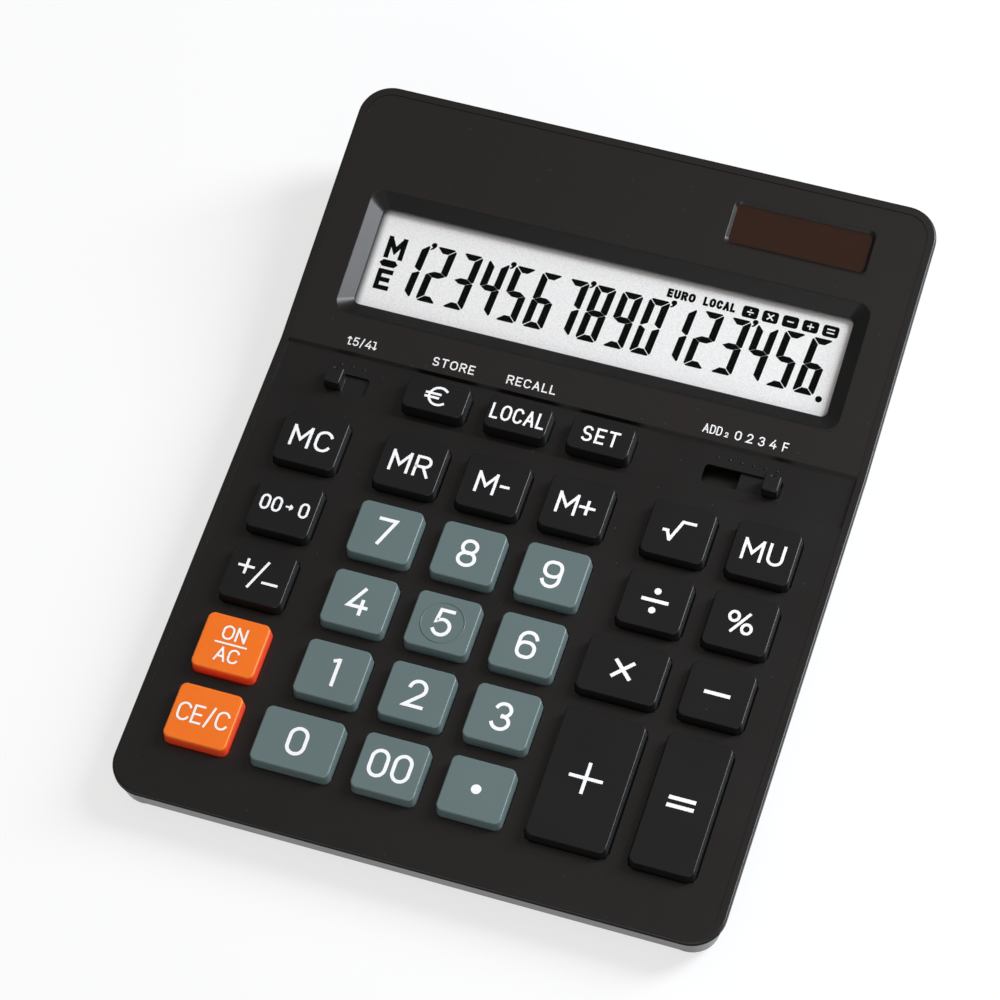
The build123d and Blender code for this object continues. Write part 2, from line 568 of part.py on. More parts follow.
def switch_wiper(rest_x):
    """The contact spring under a slider: a flat back with two legs that reach down to the board."""
    top = FLANGE_TOP + SLIDER_THICKNESS
    drop = BOARD_TOP - SEAT_GAP - top
    half, knee, toe = WIPER_LENGTH / 2, WIPER_LENGTH / 4, WIPER_LENGTH / 2 - drop
    crown = [(-half, -drop + WIPER_THICKNESS), (-toe, -drop + WIPER_THICKNESS), (-knee, 0)]
    points = crown + [(-y, z) for y, z in reversed(crown)]
    spring = Rot(0, 0, 90) * strip(points, WIPER_THICKNESS, WIPER_WIDTH)
    return KEYPAD.location * Pos(rest_x, -SWITCH_ROW, -top) * spring


def display_window():
    """The clear window, seated behind the bezel's lip."""
    pane = slab(GLASS_WIDTH, GLASS_HEIGHT, WINDOW_TOP, PANEL_TOP)
    return DISPLAY.location * Pos(0, DISPLAY_CENTRE, 0) * pane


def lcd_panel():
    """Two glasses; the front one is longer, and its ledge takes the ribbon."""
    front = slab(GLASS_WIDTH, GLASS_HEIGHT, PANEL_TOP, PANEL_TOP + GLASS_SHEET)
    rear = slab(GLASS_WIDTH, GLASS_HEIGHT - GLASS_LEDGE, PANEL_TOP + GLASS_SHEET, PANEL_BOTTOM)
    glasses = front + Pos(0, GLASS_LEDGE / 2, 0) * rear
    return DISPLAY.location * Pos(0, DISPLAY_CENTRE, 0) * glasses


def lcd_holder():
    """The frame that closes the bezel's wall from below, with an ear at each end and three openings."""
    grow = 2 * (GLASS_GAP + FENCE)
    frame = slab(GLASS_WIDTH + grow, GLASS_HEIGHT + grow, PANEL_BOTTOM, HOLDER_BOTTOM)
    third = GLASS_WIDTH / 3
    window = slab(third - 2 * HOLDER_EAR, GLASS_HEIGHT / 2, PANEL_BOTTOM - OVERRUN, HOLDER_BOTTOM + OVERRUN)
    frame -= [Pos(n * third, 0, 0) * window for n in (-1, 0, 1)]
    ear = slab(2 * HOLDER_EAR, 2 * HOLDER_EAR, PANEL_BOTTOM, HOLDER_BOTTOM)
    hole = stake_hole(PANEL_BOTTOM, HOLDER_BOTTOM)
    frame += [Pos(side * EAR_X, 0, 0) * ear for side in (-1, 1)]
    frame -= [Pos(side * EAR_X, 0, 0) * hole for side in (-1, 1)]
    return DISPLAY.location * Pos(0, DISPLAY_CENTRE, 0) * frame


def lcd_ribbon():
    """The heat-seal ribbon from the panel's ledge, out under the bezel's wall and down onto the board."""
    edge = DISPLAY_CENTRE - GLASS_HEIGHT / 2
    places = [
        on_face(DISPLAY, 0, edge + GLASS_LEDGE - GLASS_GAP, PANEL_TOP + GLASS_SHEET),
        on_face(DISPLAY, 0, edge - GLASS_GAP, PANEL_TOP + GLASS_SHEET),
        on_face(KEYPAD, 0, BOARD_BACK, BOARD_TOP - RIBBON),
        on_face(KEYPAD, 0, SHEET_MARGIN, BOARD_TOP - RIBBON),
    ]
    return strip([(p.Y, p.Z) for p in places], RIBBON, RIBBON_WIDTH)


def solar_pane(top, bottom):
    """A pane as large as the solar cell's seat, between two depths."""
    return slab(SOLAR_WIDTH + 2 * SOLAR_MARGIN, SOLAR_HEIGHT + 2 * SOLAR_MARGIN, top, bottom)


def solar_window():
    """The tinted window, set in its seat from below."""
    return DISPLAY.location * Pos(SOLAR_X, SOLAR_Y, 0) * solar_pane(SOLAR_DEPTH, PLATE)


def solar_cell():
    """The cell's glass, on the back of its window."""
    return DISPLAY.location * Pos(SOLAR_X, SOLAR_Y, 0) * solar_pane(PLATE, PLATE + SOLAR_THICKNESS)


def solar_cable():
    """The flat lead from the solar cell, down behind the panel's frame and forward under the board."""
    behind = DISPLAY_CENTRE + GLASS_HEIGHT / 2 + 2 * FENCE + GLASS_GAP
    under = HOLDER_BOTTOM + SHELL_GAP
    ahead = DISPLAY_CENTRE - GLASS_HEIGHT / 2 - 2 * FENCE
    places = [
        on_face(DISPLAY, 0, SOLAR_Y, PLATE + SOLAR_THICKNESS),
        on_face(DISPLAY, 0, SOLAR_Y - SOLAR_HEIGHT / 2, PLATE + SOLAR_THICKNESS),
        on_face(DISPLAY, 0, behind, under),
        on_face(DISPLAY, 0, ahead, under),
        on_face(KEYPAD, 0, BOARD_BACK - OVERRUN, BOARD_BOTTOM),
        on_face(KEYPAD, 0, 0, BOARD_BOTTOM),
    ]
    return Pos(SOLAR_X, 0, 0) * strip([(p.Y, p.Z) for p in places], CABLE, CABLE_WIDTH)


def button_cell():
    """The button cell, lying in its pocket."""
    return Pos(POCKET_X, POCKET_Y, 0) * rod(CELL_RADIUS, CELL_BOTTOM, CELL_TOP)


def battery_contact_negative():
    """A strip under the pocket's roof on the cell's cap, with a tail up through the front slot."""
    front = POCKET_Y - POCKET_HALF
    blade = slab(CONTACT_WIDTH, POCKET_HALF, -POCKET_ROOF, -CELL_TOP)
    blade = Pos(POCKET_X, (front + POCKET_Y) / 2, 0) * blade
    tail = slab(CONTACT_WIDTH, CONTACT, -CONTACT_TOP, -CELL_TOP)
    return blade + Pos(POCKET_X, front + CONTACT / 2, 0) * tail


def battery_contact_positive():
    """A strip down the pocket's back wall beside the can, with a tail up through the back slot."""
    tail = slab(CONTACT_WIDTH, CONTACT, -CONTACT_TOP, -CELL_BOTTOM)
    spring = slab(CONTACT_WIDTH, POCKET_GAP - SEAT_GAP, -(CELL_BOTTOM + 2 * CONTACT), -CELL_BOTTOM)
    back = POCKET_Y + POCKET_HALF
    pressed = Pos(POCKET_X, back - (POCKET_GAP - SEAT_GAP) / 2, 0) * spring
    return pressed + Pos(POCKET_X, back - CONTACT / 2, 0) * tail


def battery_cable():
    """The flat lead over the pocket, from the contacts' tails to the board's underside."""
    back, front = POCKET_Y + POCKET_HALF, POCKET_Y - POCKET_HALF
    places = [
        on_face(KEYPAD, 0, BOARD_BACK + OVERRUN, BOARD_BOTTOM + SHELL_GAP),
        on_face(KEYPAD, 0, BOARD_BACK - OVERRUN, BOARD_BOTTOM),
        on_face(KEYPAD, 0, 0, BOARD_BOTTOM),
    ]
    points = [(back, CONTACT_TOP + CABLE), (front - CABLE_WIDTH, CONTACT_TOP + CABLE)]
    return Pos(POCKET_X, 0, 0) * strip(points + [(p.Y, p.Z) for p in places], CABLE, CABLE_WIDTH)


def battery_cover():
    """The cover under the cell, flush with the base, with a pad under the cell and a sunk screw hole."""
    cover = extrude(Pos(0, 0, BASE_LIFT) * cover_outline(COVER_GAP), COVER_THICKNESS)
    cover += Pos(POCKET_X, POCKET_Y, 0) * slab(CELL_RADIUS, CELL_RADIUS, -CELL_BOTTOM, -COVER_TOP)
    sink = rod(HEAD_RADIUS + HEAD_GAP, 0, BASE_LIFT + HEAD_HEIGHT / 2)
    hole = shank(SHANK_RADIUS + SHANK_GAP, 0, COVER_TOP + OVERRUN)
    return cover - Pos(POCKET_X, COVER_SCREW_Y, 0) * (sink + hole)


def screw(length):
    """A pan-head screw pointing up, its head's upper face at z = 0."""
    return rod(HEAD_RADIUS, -HEAD_HEIGHT, 0) + shank(SHANK_RADIUS, 0, length)


def rubber_foot():
    """A pad with its lower edge eased."""
    foot = slab(FOOT_WIDTH, FOOT_LENGTH, -(BASE_LIFT + FOOT_RECESS), 0)
    return chamfer(foot.faces().sort_by(Axis.Z)[0].edges(), FOOT_EDGE)


def all_parts():
    """Every node's name with its solid, or its group of like solids."""
    parts = {
        "upper_case": upper_case(),
        "lower_case": lower_case(),
        "key_membrane": key_membrane(),
        "main_board": main_board(),
        "controller_chip": controller_chip(),
        "storage_capacitor": storage_capacitor(),
        "display_window": display_window(),
        "lcd_panel": lcd_panel(),
        "lcd_holder": lcd_holder(),
        "lcd_ribbon": lcd_ribbon(),
        "solar_window": solar_window(),
        "solar_cell": solar_cell(),
        "solar_cable": solar_cable(),
        "button_cell": button_cell(),
        "battery_contact_negative": battery_contact_negative(),
        "battery_contact_positive": battery_contact_positive(),
        "battery_cable": battery_cable(),
        "battery_cover": battery_cover(),
    }
    for name, (_, _, rest_x) in SWITCHES.items():
        parts[name + "_slider"] = switch_slider(rest_x)
        parts[name + "_wiper"] = switch_wiper(rest_x)
    for name, (x, y, width, length) in KEYS.items():
        parts[name] = KEYPAD.location * Pos(x, y, 0) * key_cap(width, length)
    cover_screw, case_screw = screw(COVER_SHANK_LENGTH), screw(SHANK_LENGTH)
    parts["battery_cover_screw"] = Pos(POCKET_X, COVER_SCREW_Y, BASE_LIFT + HEAD_HEIGHT / 2) * cover_screw
    parts["case_screws"] = Compound([Pos(x, y, FLOOR_TOP) * case_screw for x, y in CASE_SCREWS])
    parts["rubber_feet"] = Compound([Pos(x, y, 0) * rubber_foot() for x, y in FEET])
    return parts


os.makedirs("parts", exist_ok=True)
for node, shape in all_parts().items():
    export_step(shape, f"parts/{node}.step")
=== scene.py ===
import json
from math import copysign, cos, dist, radians, sin, tan

import bmesh
import bpy
from mathutils import Matrix, Vector


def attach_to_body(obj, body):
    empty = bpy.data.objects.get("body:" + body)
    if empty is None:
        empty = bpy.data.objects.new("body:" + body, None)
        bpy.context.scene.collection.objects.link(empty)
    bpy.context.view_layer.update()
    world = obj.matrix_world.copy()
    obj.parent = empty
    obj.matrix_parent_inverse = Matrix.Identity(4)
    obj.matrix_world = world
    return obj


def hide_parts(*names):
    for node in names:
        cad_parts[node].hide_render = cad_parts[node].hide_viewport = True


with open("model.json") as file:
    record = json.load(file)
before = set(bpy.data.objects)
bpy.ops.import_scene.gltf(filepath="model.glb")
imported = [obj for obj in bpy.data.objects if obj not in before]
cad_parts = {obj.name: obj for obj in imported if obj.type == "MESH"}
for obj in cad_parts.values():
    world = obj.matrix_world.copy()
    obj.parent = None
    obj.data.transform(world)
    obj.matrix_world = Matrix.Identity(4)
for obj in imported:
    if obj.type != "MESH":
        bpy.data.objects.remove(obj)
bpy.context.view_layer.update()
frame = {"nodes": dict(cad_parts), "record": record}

bl_info = {
    "name": "Desk calculator",
    "version": (1, 0, 0),
    "blender": (4, 5, 0),
    "location": "3D View > Sidebar > Calculator",
    "description": "Dresses the solids of a wedge-shaped desk calculator and sets up its stage",
    "category": "Object",
}

SLOTS = {part["node"]: part["material_slot"] for part in frame["record"]["subparts"]}
MM = 0.001
NEAR = 0.00002
FINISH_PREFIX = "finish_"

# The two faces of the case meet at the ridge. On each, x runs across, y up the slope and z off the rim.
RIDGE = Vector((0.0, 0.0283770, 0.0161356))
KEYPAD_SLOPE, DISPLAY_SLOPE = radians(2.5), radians(11.7)
KEYPAD = Matrix.Translation(RIDGE) @ Matrix.Rotation(KEYPAD_SLOPE, 4, "X")
DISPLAY = Matrix.Translation(RIDGE) @ Matrix.Rotation(DISPLAY_SLOPE, 4, "X")

# Triangles that differ by less than the first angle are one face, and edges over the second are rounded
FLAT_ANGLE, SHARP_ANGLE = radians(0.4), radians(32)

# Letters are drawn by their centre lines in a box a hundred units high: a width, then the strokes. A stroke is a
# row of points and of arcs, each arc being its middle, one or two radii, first angle and last angle. An open stroke
# runs on past its ends by half its own width, a cut one stops there, a ring closes, and a dot has a radius.
LETTER_BOX = 100
ARC_STEP = 11.0
SAME_POINT = 0.1
DOT_SIDES = 36
GLYPHS = {
    "0": (62, "ring 31,69,31,0,180 31,31,31,180,360"),
    "1": (26, "open 26,100 26,0", "cut 4,92 28,100"),
    "2": (64, "open 31,70,30,170,-38 0,0 64,0"),
    "3": (62, "open 31,74.5,27,25.5,160,-85", "open 31,25.5,31,26.5,85,-160"),
    "4": (68, "open 44,100 0,27 68,27", "open 50,52 50,0"),
    "5": (61, "open 58,100 12,100 6,53 30,32,31,135,-150"),
    "6": (62, "ring 36,33,26,90,0 36,26,26,0,-90 26,26,26,270,180 26,33,26,180,90",
          "open 0,30 31,69,31,180,20"),
    "7": (60, "open 0,100 60,100 18,0"),
    "8": (62, "ring 31,74.5,27,25.5,0,350", "ring 31,25.5,31,26.5,0,350"),
    "9": (62, "ring 36,74,26,90,0 36,67,26,0,-90 26,67,26,270,180 26,74,26,180,90",
          "open 62,70 31,31,31,0,-160"),
    "A": (68, "open 0,0 34,100", "open 34,100 68,0", "cut 12,33 56,33"),
    "C": (62, "open 33,67,33,25,180 33,33,33,180,335"),
    "D": (60, "ring 0,0 0,100 28,68,32,90,0 28,32,32,0,-90"),
    "E": (52, "open 52,100 0,100 0,0 52,0", "open 0,50 45,50"),
    "F": (50, "open 50,100 0,100 0,0", "open 0,50 42,50"),
    "L": (50, "open 0,100 0,0 50,0"),
    "M": (80, "open 0,0 0,100", "open 80,0 80,100", "cut 0,100 40,34 80,100"),
    "N": (62, "open 0,0 0,100", "open 62,0 62,100", "cut 0,100 62,0"),
    "O": (70, "ring 35,65,35,0,180 35,35,35,180,360"),
    "R": (62, "open 0,0 0,100 36,74,26,90,-90 0,48", "open 34,48 62,0"),
    "S": (58, "open 29,74.5,27,25.5,30,270 29,24.5,29,24.5,90,-150"),
    "T": (62, "open 0,100 62,100", "cut 31,100 31,0 31,-7"),
    "U": (62, "open 0,100 31,31,31,180,360 62,100"),
    "+": (74, "open 0,50 74,50", "open 37,13 37,87"),
    "-": (74, "open 0,50 74,50"),
    "/": (34, "cut 0,-14 34,114"),
    ".": (0, "dot 0,50,50"),
    "=": (100, "open 0,68 100,68", "open 0,32 100,32"),
    "÷": (100, "open 0,50 100,50", "dot 50,95,15", "dot 50,5,15"),
    "×": (100, "open 0,0 100,100", "open 0,100 100,0"),
    "%": (105, "ring 20,76,20,24,0,345", "ring 85,24,20,24,0,345", "cut 20,-6 85,106"),
    "√": (130, "open 0,42 16,42", "cut 14,45 36,-6", "open 36,0 74,100 130,100"),
    "±": (150, "open 0,72 50,72", "open 25,47 25,97", "cut 52,-6 98,106",
          "open 100,25 150,25"),
    "→": (80, "cut 0,50 74,50", "cut 48,80 82,50", "cut 82,50 48,20"),
    "€": (80, "open 50,50,36,50,48,312", "cut -2,61 58,61", "cut -2,39 54,39"),
    "↥": (50, "open 52,0 24,0 24,88", "cut -2,70 24,100", "cut 24,100 50,70"),
    "↧": (50, "open -2,100 26,100 26,12", "cut 0,30 26,0", "cut 26,0 52,30"),
}

# Strokes lie on a few levels in turn, so that no two that cross share a plane: their number, and the share of the
# ink's thickness from one to the next. A share of that thickness is sunk into the surface.
STROKE_LEVELS, LEVEL_SHARE, SUNK_SHARE = 4, 1 / 8, 1 / 3

# What is printed on each key: text, height, stroke, stretch, gap, and place across and along, in millimetres
KEY_LEGENDS = {
    "memory_clear": [("MC", 6.0, 0.74, 1.06, 1.1)],
    "memory_recall": [("MR", 6.0, 0.74, 1.06, 1.1)],
    "memory_minus": [("M", 6.0, 0.74, 1.06, 0, -1.75), ("-", 3.12, 0.74, 1.0, 0, 3.0)],
    "memory_plus": [("M", 6.0, 0.74, 1.06, 0, -2.35), ("+", 5.29, 0.74, 1.0, 0, 2.8)],
    "square_root": [("√", 6.2, 0.80)],
    "mark_up": [("MU", 6.0, 0.74, 1.06, 1.1)],
    "backspace": [
        ("00", 4.3, 0.60, 0.85, 0.5, -3.6), ("→", 2.8, 0.50, 0.95, 0, 1.1), ("0", 4.3, 0.60, 0.85, 0, 5.0),
    ],
    "divide": [("÷", 6.8, 0.95)],
    "percent": [("%", 6.0, 0.75, 1.1)],
    "sign": [("±", 7.8, 0.68)],
    "multiply": [("×", 5.0, 0.95)],
    "minus": [("-", 8.0, 0.95, 1.06)],
    "all_clear": [
        ("ON", 3.9, 0.50, 1.04, 0.5, 0, 2.95), ("-", 11.0, 0.46), ("AC", 3.9, 0.50, 1.04, 0.4, 0, -2.95),
    ],
    "plus": [("+", 11.0, 0.86)],
    "equals": [("=", 6.7, 1.0)],
    "clear_entry": [("CE/C", 5.0, 0.54, 0.97, 0.6)],
    "double_zero": [("00", 7.6, 0.90, 0.95, 1.0)],
    "point": [(".", 2.5, 0.0)],
    "euro": [("€", 5.6, 0.64, 1.38)],
    "local": [("LOCAL", 4.4, 0.58, 0.78, 0.55)],
    "set": [("SET", 4.4, 0.60, 0.95, 0.75)],
    **{figure: [(figure, 7.6, 0.90)] for figure in "0123456789"},
}

# What is printed along the front of the display face, in the same order, and how far under the rim
PANEL_LEGENDS = [
    ("↥", 2.3, 0.28, 1.0, 0, -59.2, 3.5), ("5/4", 2.35, 0.30, 1.0, 0.40, -55.7, 3.5),
    ("↧", 2.3, 0.28, 1.0, 0, -52.4, 3.5), ("STORE", 2.4, 0.35, 1.13, 0.55, -31.4, 3.5),
    ("RECALL", 2.4, 0.35, 1.13, 0.55, -10.9, 3.5), ("ADD", 2.4, 0.31, 0.85, 0.3, 36.3, 3.5),
    ("2", 1.3, 0.24, 1.0, 0, 40.0, 3.0),
    *[(mark, 2.45, 0.34, 1.0, 0, x, 3.5) for mark, x in zip("0234F", (42.9, 45.9, 48.9, 51.9, 55.0))],
]
PANEL_DROP = 0.2 * MM

# The display shows every figure in turn, each made of seven bars. A comma follows some of them, and a point the last.
SEVEN_BARS = {
    "0": "abcdef", "1": "bc", "2": "abged", "3": "abgcd", "4": "fgbc", "5": "afgcd", "6": "afgedc",
    "7": "abc", "8": "abcdefg", "9": "abcdfg",
}
SHOWN_FIGURES = "1234567890123456"
MARKED_FIGURES = (0, 3, 6, 9, 12)
COMMA_HEAD = (0, 0, 0.72, -30, 205)
COMMA_TAIL = [(-0.18, -0.62), (-0.72, -1.25), (-0.45, -1.42), (0.15, -1.1)]
POINT_PITCHES, POINT_DROP, POINT_RADIUS = 15.52, 0.4, 0.85

# The signs beside and over the figures, and the dark boxes with a light sign, its height and its stretch
DISPLAY_WORDS = [
    ("M", 6.1, 1.25, 0.98, 0, -56.4, 31.9), ("E", 5.7, 1.25, 1.2, 0, -57.0, 22.9),
    ("EURO", 2.4, 0.66, 0.90, 0.28, 18.05, 37.5), ("LOCAL", 2.4, 0.64, 0.80, 0.24, 28.05, 37.5),
]
MINUS_BAR = [(-59.4, 27.4), (-58.5, 28.35), (-55.4, 28.35), (-54.5, 27.4), (-55.4, 26.45), (-58.5, 26.45)]
BOXED_SIGNS = (("÷", 1.7, 1.0), ("×", 1.7, 1.0), ("-", 2.2, 1.0), ("+", 2.2, 1.0), ("=", 3.0, 0.62))
FIRST_BOX, BOX_PITCH, BOX_ROW, BOX_STROKE = 36.1, 5.22, 37.4, 0.34
BOX_SIZE = (4.1, 3.1, 0.7)

# Which faces are the upright front edge of the upper case: how they face, and where they begin along the part
FRONT_FACING, FRONT_UPRIGHT, FRONT_EDGE = -0.35, 0.3, -0.0925

# The front wall of the lower case: its top, the slope taken off its lean and off that of its corners, the middle
# of the corners' rounding, and how far from there the wall begins
FRONT_TOP = 0.0089
FRONT_LEAN, CORNER_LEAN = 0.065, 0.22
WALL_CORNER = (0.0666, -0.0904)
WALL_INSIDE = 0.0062

# The switches: how many places each has and which way they run from the knob's rest, and how much of the knob's top
# is measured to find its middle
SWITCH_PLACES = (("rounding_switch_slider", 3, 1), ("decimal_switch_slider", 6, -1))
KNOB_SLICE = 0.2 * MM

# The linings of the two recesses in the display face: middle, size of the opening, and their rings from the
# outside in, each with its growth beyond the opening, its corner radius and its height over the rim
BEZELS = [
    ("display_bezel", 0, 27.9, 124.3, 27.1,
     [(4.05, 0.5, -0.15), (3.75, 3.4, -0.15), (-0.05, 1.6, -2.55), (-0.05, 1.6, -3.05)]),
    ("solar_bezel", 43.3, 58.7, 35.3, 10.7, [(1.0, 0.3, -0.15), (0.75, 1.9, -0.15), (-0.05, 1.2, -0.95)]),
]
BEZEL_EDGE, BEZEL_SKIN = 0.2 * MM, 0.03 * MM
BEZEL_BEND = radians(20)

# The corner and edge of the clear sheets, how much of its size a screw's cross keeps at its bottom, and how flat the
# ring on the middle key is
SHEET_CORNER, SHEET_EDGE = 0.8 * MM, 0.12 * MM
CROSS_TAPER = (0.6, 0.8, 1)
RING_FLATNESS = (1, 1, 0.9)

# The display's reflector: how its sparkle is stretched and how dark it gets, how dark the bezel's shade is, and where
# that shade is deepest and where it ends, across and away from the user
SPARKLE_LOW, SPARKLE_HIGH, SPARKLE_DARK, SHADE_DARK = -1.4, 2.6, 0.88, 0.1
SHADED_LEFT = (-0.0628, -0.0602)
SHADED_BACK = (RIDGE.y + 0.0423, RIDGE.y + 0.0408)

# Painted light on the orange keys: how far under their tops the painted deeper red, which stands in for light coming
# through the plastic, is deepest, and where that begins
GLOW_FULL_DEPTH, GLOW_START_DEPTH = 1.4 * MM, 0.2 * MM

# Relief of the plastics' grain, how far their roughness varies, and the dust on them as it looks on a screen
GRAIN_HEIGHT = 0.00004
SHEEN_SPREAD = 0.06
DUST_GREY = (92, 90, 86)

# The stage: its lamps with their places and sizes, what they aim at, and the camera's place and axes
FLOOR_SIZE = 6.0
KEY_BOX = ((0.807, 0.565, 0.770), 0.38, 0.90)
FILL_BOX = ((0.36, -1.12, 0.55), 1.2, 0.7)
LAMP_AIM = Vector((0, 0, 0.015))
OVERHEAD_FROM = 0.88
CAMERA_STAND = (0.19325, -0.47174, 0.86193)
CAMERA_RIGHT = (0.94933, 0.31039, -0.05398)
CAMERA_UP = (-0.23929, 0.82330, 0.51438)
CAMERA_BACK = (0.20373, -0.47522, 0.85587)
SENSOR_WIDTH, FARTHEST = 36.0, 20.0


def tint(*screen):
    """A colour given as it looks on a screen, as the linear values that a shader takes."""
    shares = [value / 255 for value in screen]
    return tuple(s / 12.92 if s <= 0.04045 else ((s + 0.055) / 1.055) ** 2.4 for s in shares)


def number(name, description, default, **kind):
    """A plain amount for a settings group, not below zero unless the group says so."""
    return bpy.props.FloatProperty(name=name, description=description, default=default, **{"min": 0.0, **kind})


def length(name, description, default, **kind):
    """A length for a settings group, given in millimetres."""
    return number(name, description, default * MM, unit="LENGTH", precision=5, **kind)


def colour(name, description, *screen):
    """A colour for a settings group, given as it looks on a screen."""
    return bpy.props.FloatVectorProperty(
        name=name, description=description, default=tint(*screen), size=3, subtype="COLOR", min=0.0, max=1.0
    )


class CaseSettings(bpy.types.PropertyGroup):
    """Sizes of the two shells' finish"""

    edge_round: length("Edge round", "Radius of the moulded edges of the shells", 0.10)
    knob_round: length("Knob round", "Radius of the edges of the switch knobs", 0.22)
    foot_round: length("Foot round", "Radius of the edges of the rubber feet", 0.30)
    head_round: length("Screw head round", "Radius of the edges of the screw heads", 0.25)
    cross_length: length("Cross length", "Length of the slots of a screw's cross", 2.3)
    cross_width: length("Cross width", "Width of the slots of a screw's cross", 0.6)
    cross_depth: length("Cross depth", "Depth of a screw's cross", 0.8)
    pip_radius: length("Pip radius", "Radius of the raised pips in front of the switches", 0.34)
    pip_height: length("Pip height", "Height of the raised pips", 0.24)
    pip_pitch: length("Pip pitch", "Distance between the pips, one for each place of a switch", 3.0)
    pip_row: length("Pip row", "How far in front of the ridge the pips stand", 3.0)
    channel_depth: length("Channel depth", "Depth of the switch channel under the rim", 1.0)


class KeySettings(bpy.types.PropertyGroup):
    """Sizes shared by all the keys"""

    height: length("Height", "Height of the key tops over the rim", 3.0)
    foot: length("Foot", "Depth of the flange's upper side under the rim", 1.7)
    flange: length("Flange", "Thickness of the flange that keeps a key in the case", 0.8)
    overhang: length("Overhang", "How far the flange stands out", 1.1)
    spread: length("Spread", "How much wider a key is at its foot, on each side", 0.329)
    corner: length("Corner", "Radius of a key's corners seen from above", 1.7)
    edge: length("Edge", "Radius of a key's upper edge", 0.36)
    wall: length("Wall", "Thickness of a key's roof and sides", 1.4)
    ring_radius: length("Ring radius", "Radius of the raised ring on the middle key", 5.4)
    ring_width: length("Ring width", "Width of the raised ring", 0.34)
    ink: length("Ink", "Thickness of the printed marks", 0.03)


class DisplaySettings(bpy.types.PropertyGroup):
    """Sizes of the figures on the display"""

    panel_depth: length("Panel depth", "Depth of the display panel under the rim", 4.1)
    window_share: number("Window share", "Share of a window solid's thickness that its clear sheet has", 0.8)
    pitch: length("Pitch", "Distance between figures", 7.09)
    height: length("Height", "Height of a figure", 15.5)
    width: length("Width", "Width of a figure", 5.45)
    upright: length("Upright bar", "Width of a figure's upright bars", 1.85)
    level: length("Level bar", "Width of a figure's level bars", 1.65)
    gap: length("Gap", "Gap between a figure's bars", 0.14)
    blunt: length("Blunt end", "How far the tips of a figure's bars are cut off", 0.3)
    slant: number("Slant", "How far the figures lean", radians(4.8), subtype="ANGLE")
    first_x: length("First figure", "Middle of the first figure", -51.15, min=-0.1)
    base_y: length("Base line", "Foot of the figures, up the display face from the ridge", 19.6)


class FinishSettings(bpy.types.PropertyGroup):
    """Colours of the finishes"""

    case_black: colour("Case black", "Moulded plastic of the case", 20, 19, 18)
    base_black: colour("Base black", "Moulded plastic of the lower case", 20, 20, 20)
    key_black: colour("Key black", "Plastic of the function keys", 27, 27, 27)
    key_grey: colour("Key grey", "Plastic of the figure keys", 100, 117, 117)
    key_orange: colour("Key orange", "Plastic of the clearing keys", 255, 122, 30)
    ink_white: colour("Ink white", "Printed marks", 252, 253, 252)
    lcd_ground: colour("Display ground", "Reflector of the display", 251, 250, 248)
    lcd_ink: colour("Display ink", "Dark bars of the display", 8, 11, 9)
    solar_brown: colour("Solar brown", "Face of the solar cell", 42, 25, 17)
    board_green: colour("Board green", "Lacquer of the main board", 14, 26, 18)


class StageSettings(bpy.types.PropertyGroup):
    """Camera, light and floor"""

    lens: number("Lens", "Focal length of the camera", 144.64, subtype="DISTANCE_CAMERA")
    floor_colour: colour("Floor", "Colour of the floor", 250, 250, 250)
    floor_glow: number("Floor glow", "How far the floor is seen as plain white, apart from its shadows", 0.7)
    overhead: colour("Overhead", "Soft light from straight above", 240, 222, 214)
    level_light: colour("Level light", "Soft light from all round", 118, 118, 118)
    key_colour: colour("Key light colour", "Colour of the soft box at the right", 244, 249, 255)
    key_power: number("Key light", "Power of the soft box at the right, in watts", 21.0)
    fill_power: number("Fill light", "Power of the soft box in front, in watts", 4.0)


def deselect():
    """Leaves edit mode and deselects everything."""
    if bpy.context.mode != "OBJECT":
        bpy.ops.object.mode_set(mode="OBJECT")
    bpy.ops.object.select_all(action="DESELECT")


def take(piece):
    """Makes a piece the only one selected, and the active one."""
    deselect()
    piece.select_set(True)
    bpy.context.view_layer.objects.active = piece


def added(name):
    """The piece that an operator has just added, under its own name."""
    piece = bpy.context.object
    piece.name = piece.data.name = name
    return piece


def edit(piece, kind=None):
    """Opens a piece for editing with all of it selected, by vertices, edges or faces where that matters."""
    take(piece)
    bpy.ops.object.mode_set(mode="EDIT")
    if kind:
        bpy.ops.mesh.select_mode(type=kind)
    bpy.ops.mesh.select_all(action="SELECT")


def close():
    """Ends the editing of a piece."""
    bpy.ops.object.mode_set(mode="OBJECT")


def pick(kind, test):
    """Selects the edges or faces that pass a test on the piece being edited, and no others."""
    bpy.ops.mesh.select_mode(type=kind)
    bpy.ops.mesh.select_all(action="DESELECT")
    mesh = bpy.context.object.data
    shape = bmesh.from_edit_mesh(mesh)
    found = [part for part in {"EDGE": shape.edges, "FACE": shape.faces}[kind] if test(part)]
    for part in found:
        part.select_set(True)
    bmesh.update_edit_mesh(mesh)
    if not found:
        raise RuntimeError("nothing to select on " + bpy.context.object.name)


def level_with(height):
    """A test for what lies wholly at one height."""
    return lambda part: all(abs(corner.co.z - height) < NEAR for corner in part.verts)


def rising(height):
    """A test for edges that rise by more than a height."""
    return lambda edge: abs(edge.verts[0].co.z - edge.verts[1].co.z) > height


def round_edges(test, radius, segments):
    """Rounds the edges that pass a test on the piece being edited."""
    pick("EDGE", test)
    bpy.ops.mesh.bevel(offset=radius, segments=segments, affect="EDGES")


def extrude(height):
    """Extrudes what is selected straight up, or down for a height below zero."""
    bpy.ops.mesh.extrude_region_move(TRANSFORM_OT_translate={"value": (0, 0, height)})


def face_outward():
    """Turns all faces of the piece being edited outward."""
    bpy.ops.mesh.select_all(action="SELECT")
    bpy.ops.mesh.normals_make_consistent(inside=False)


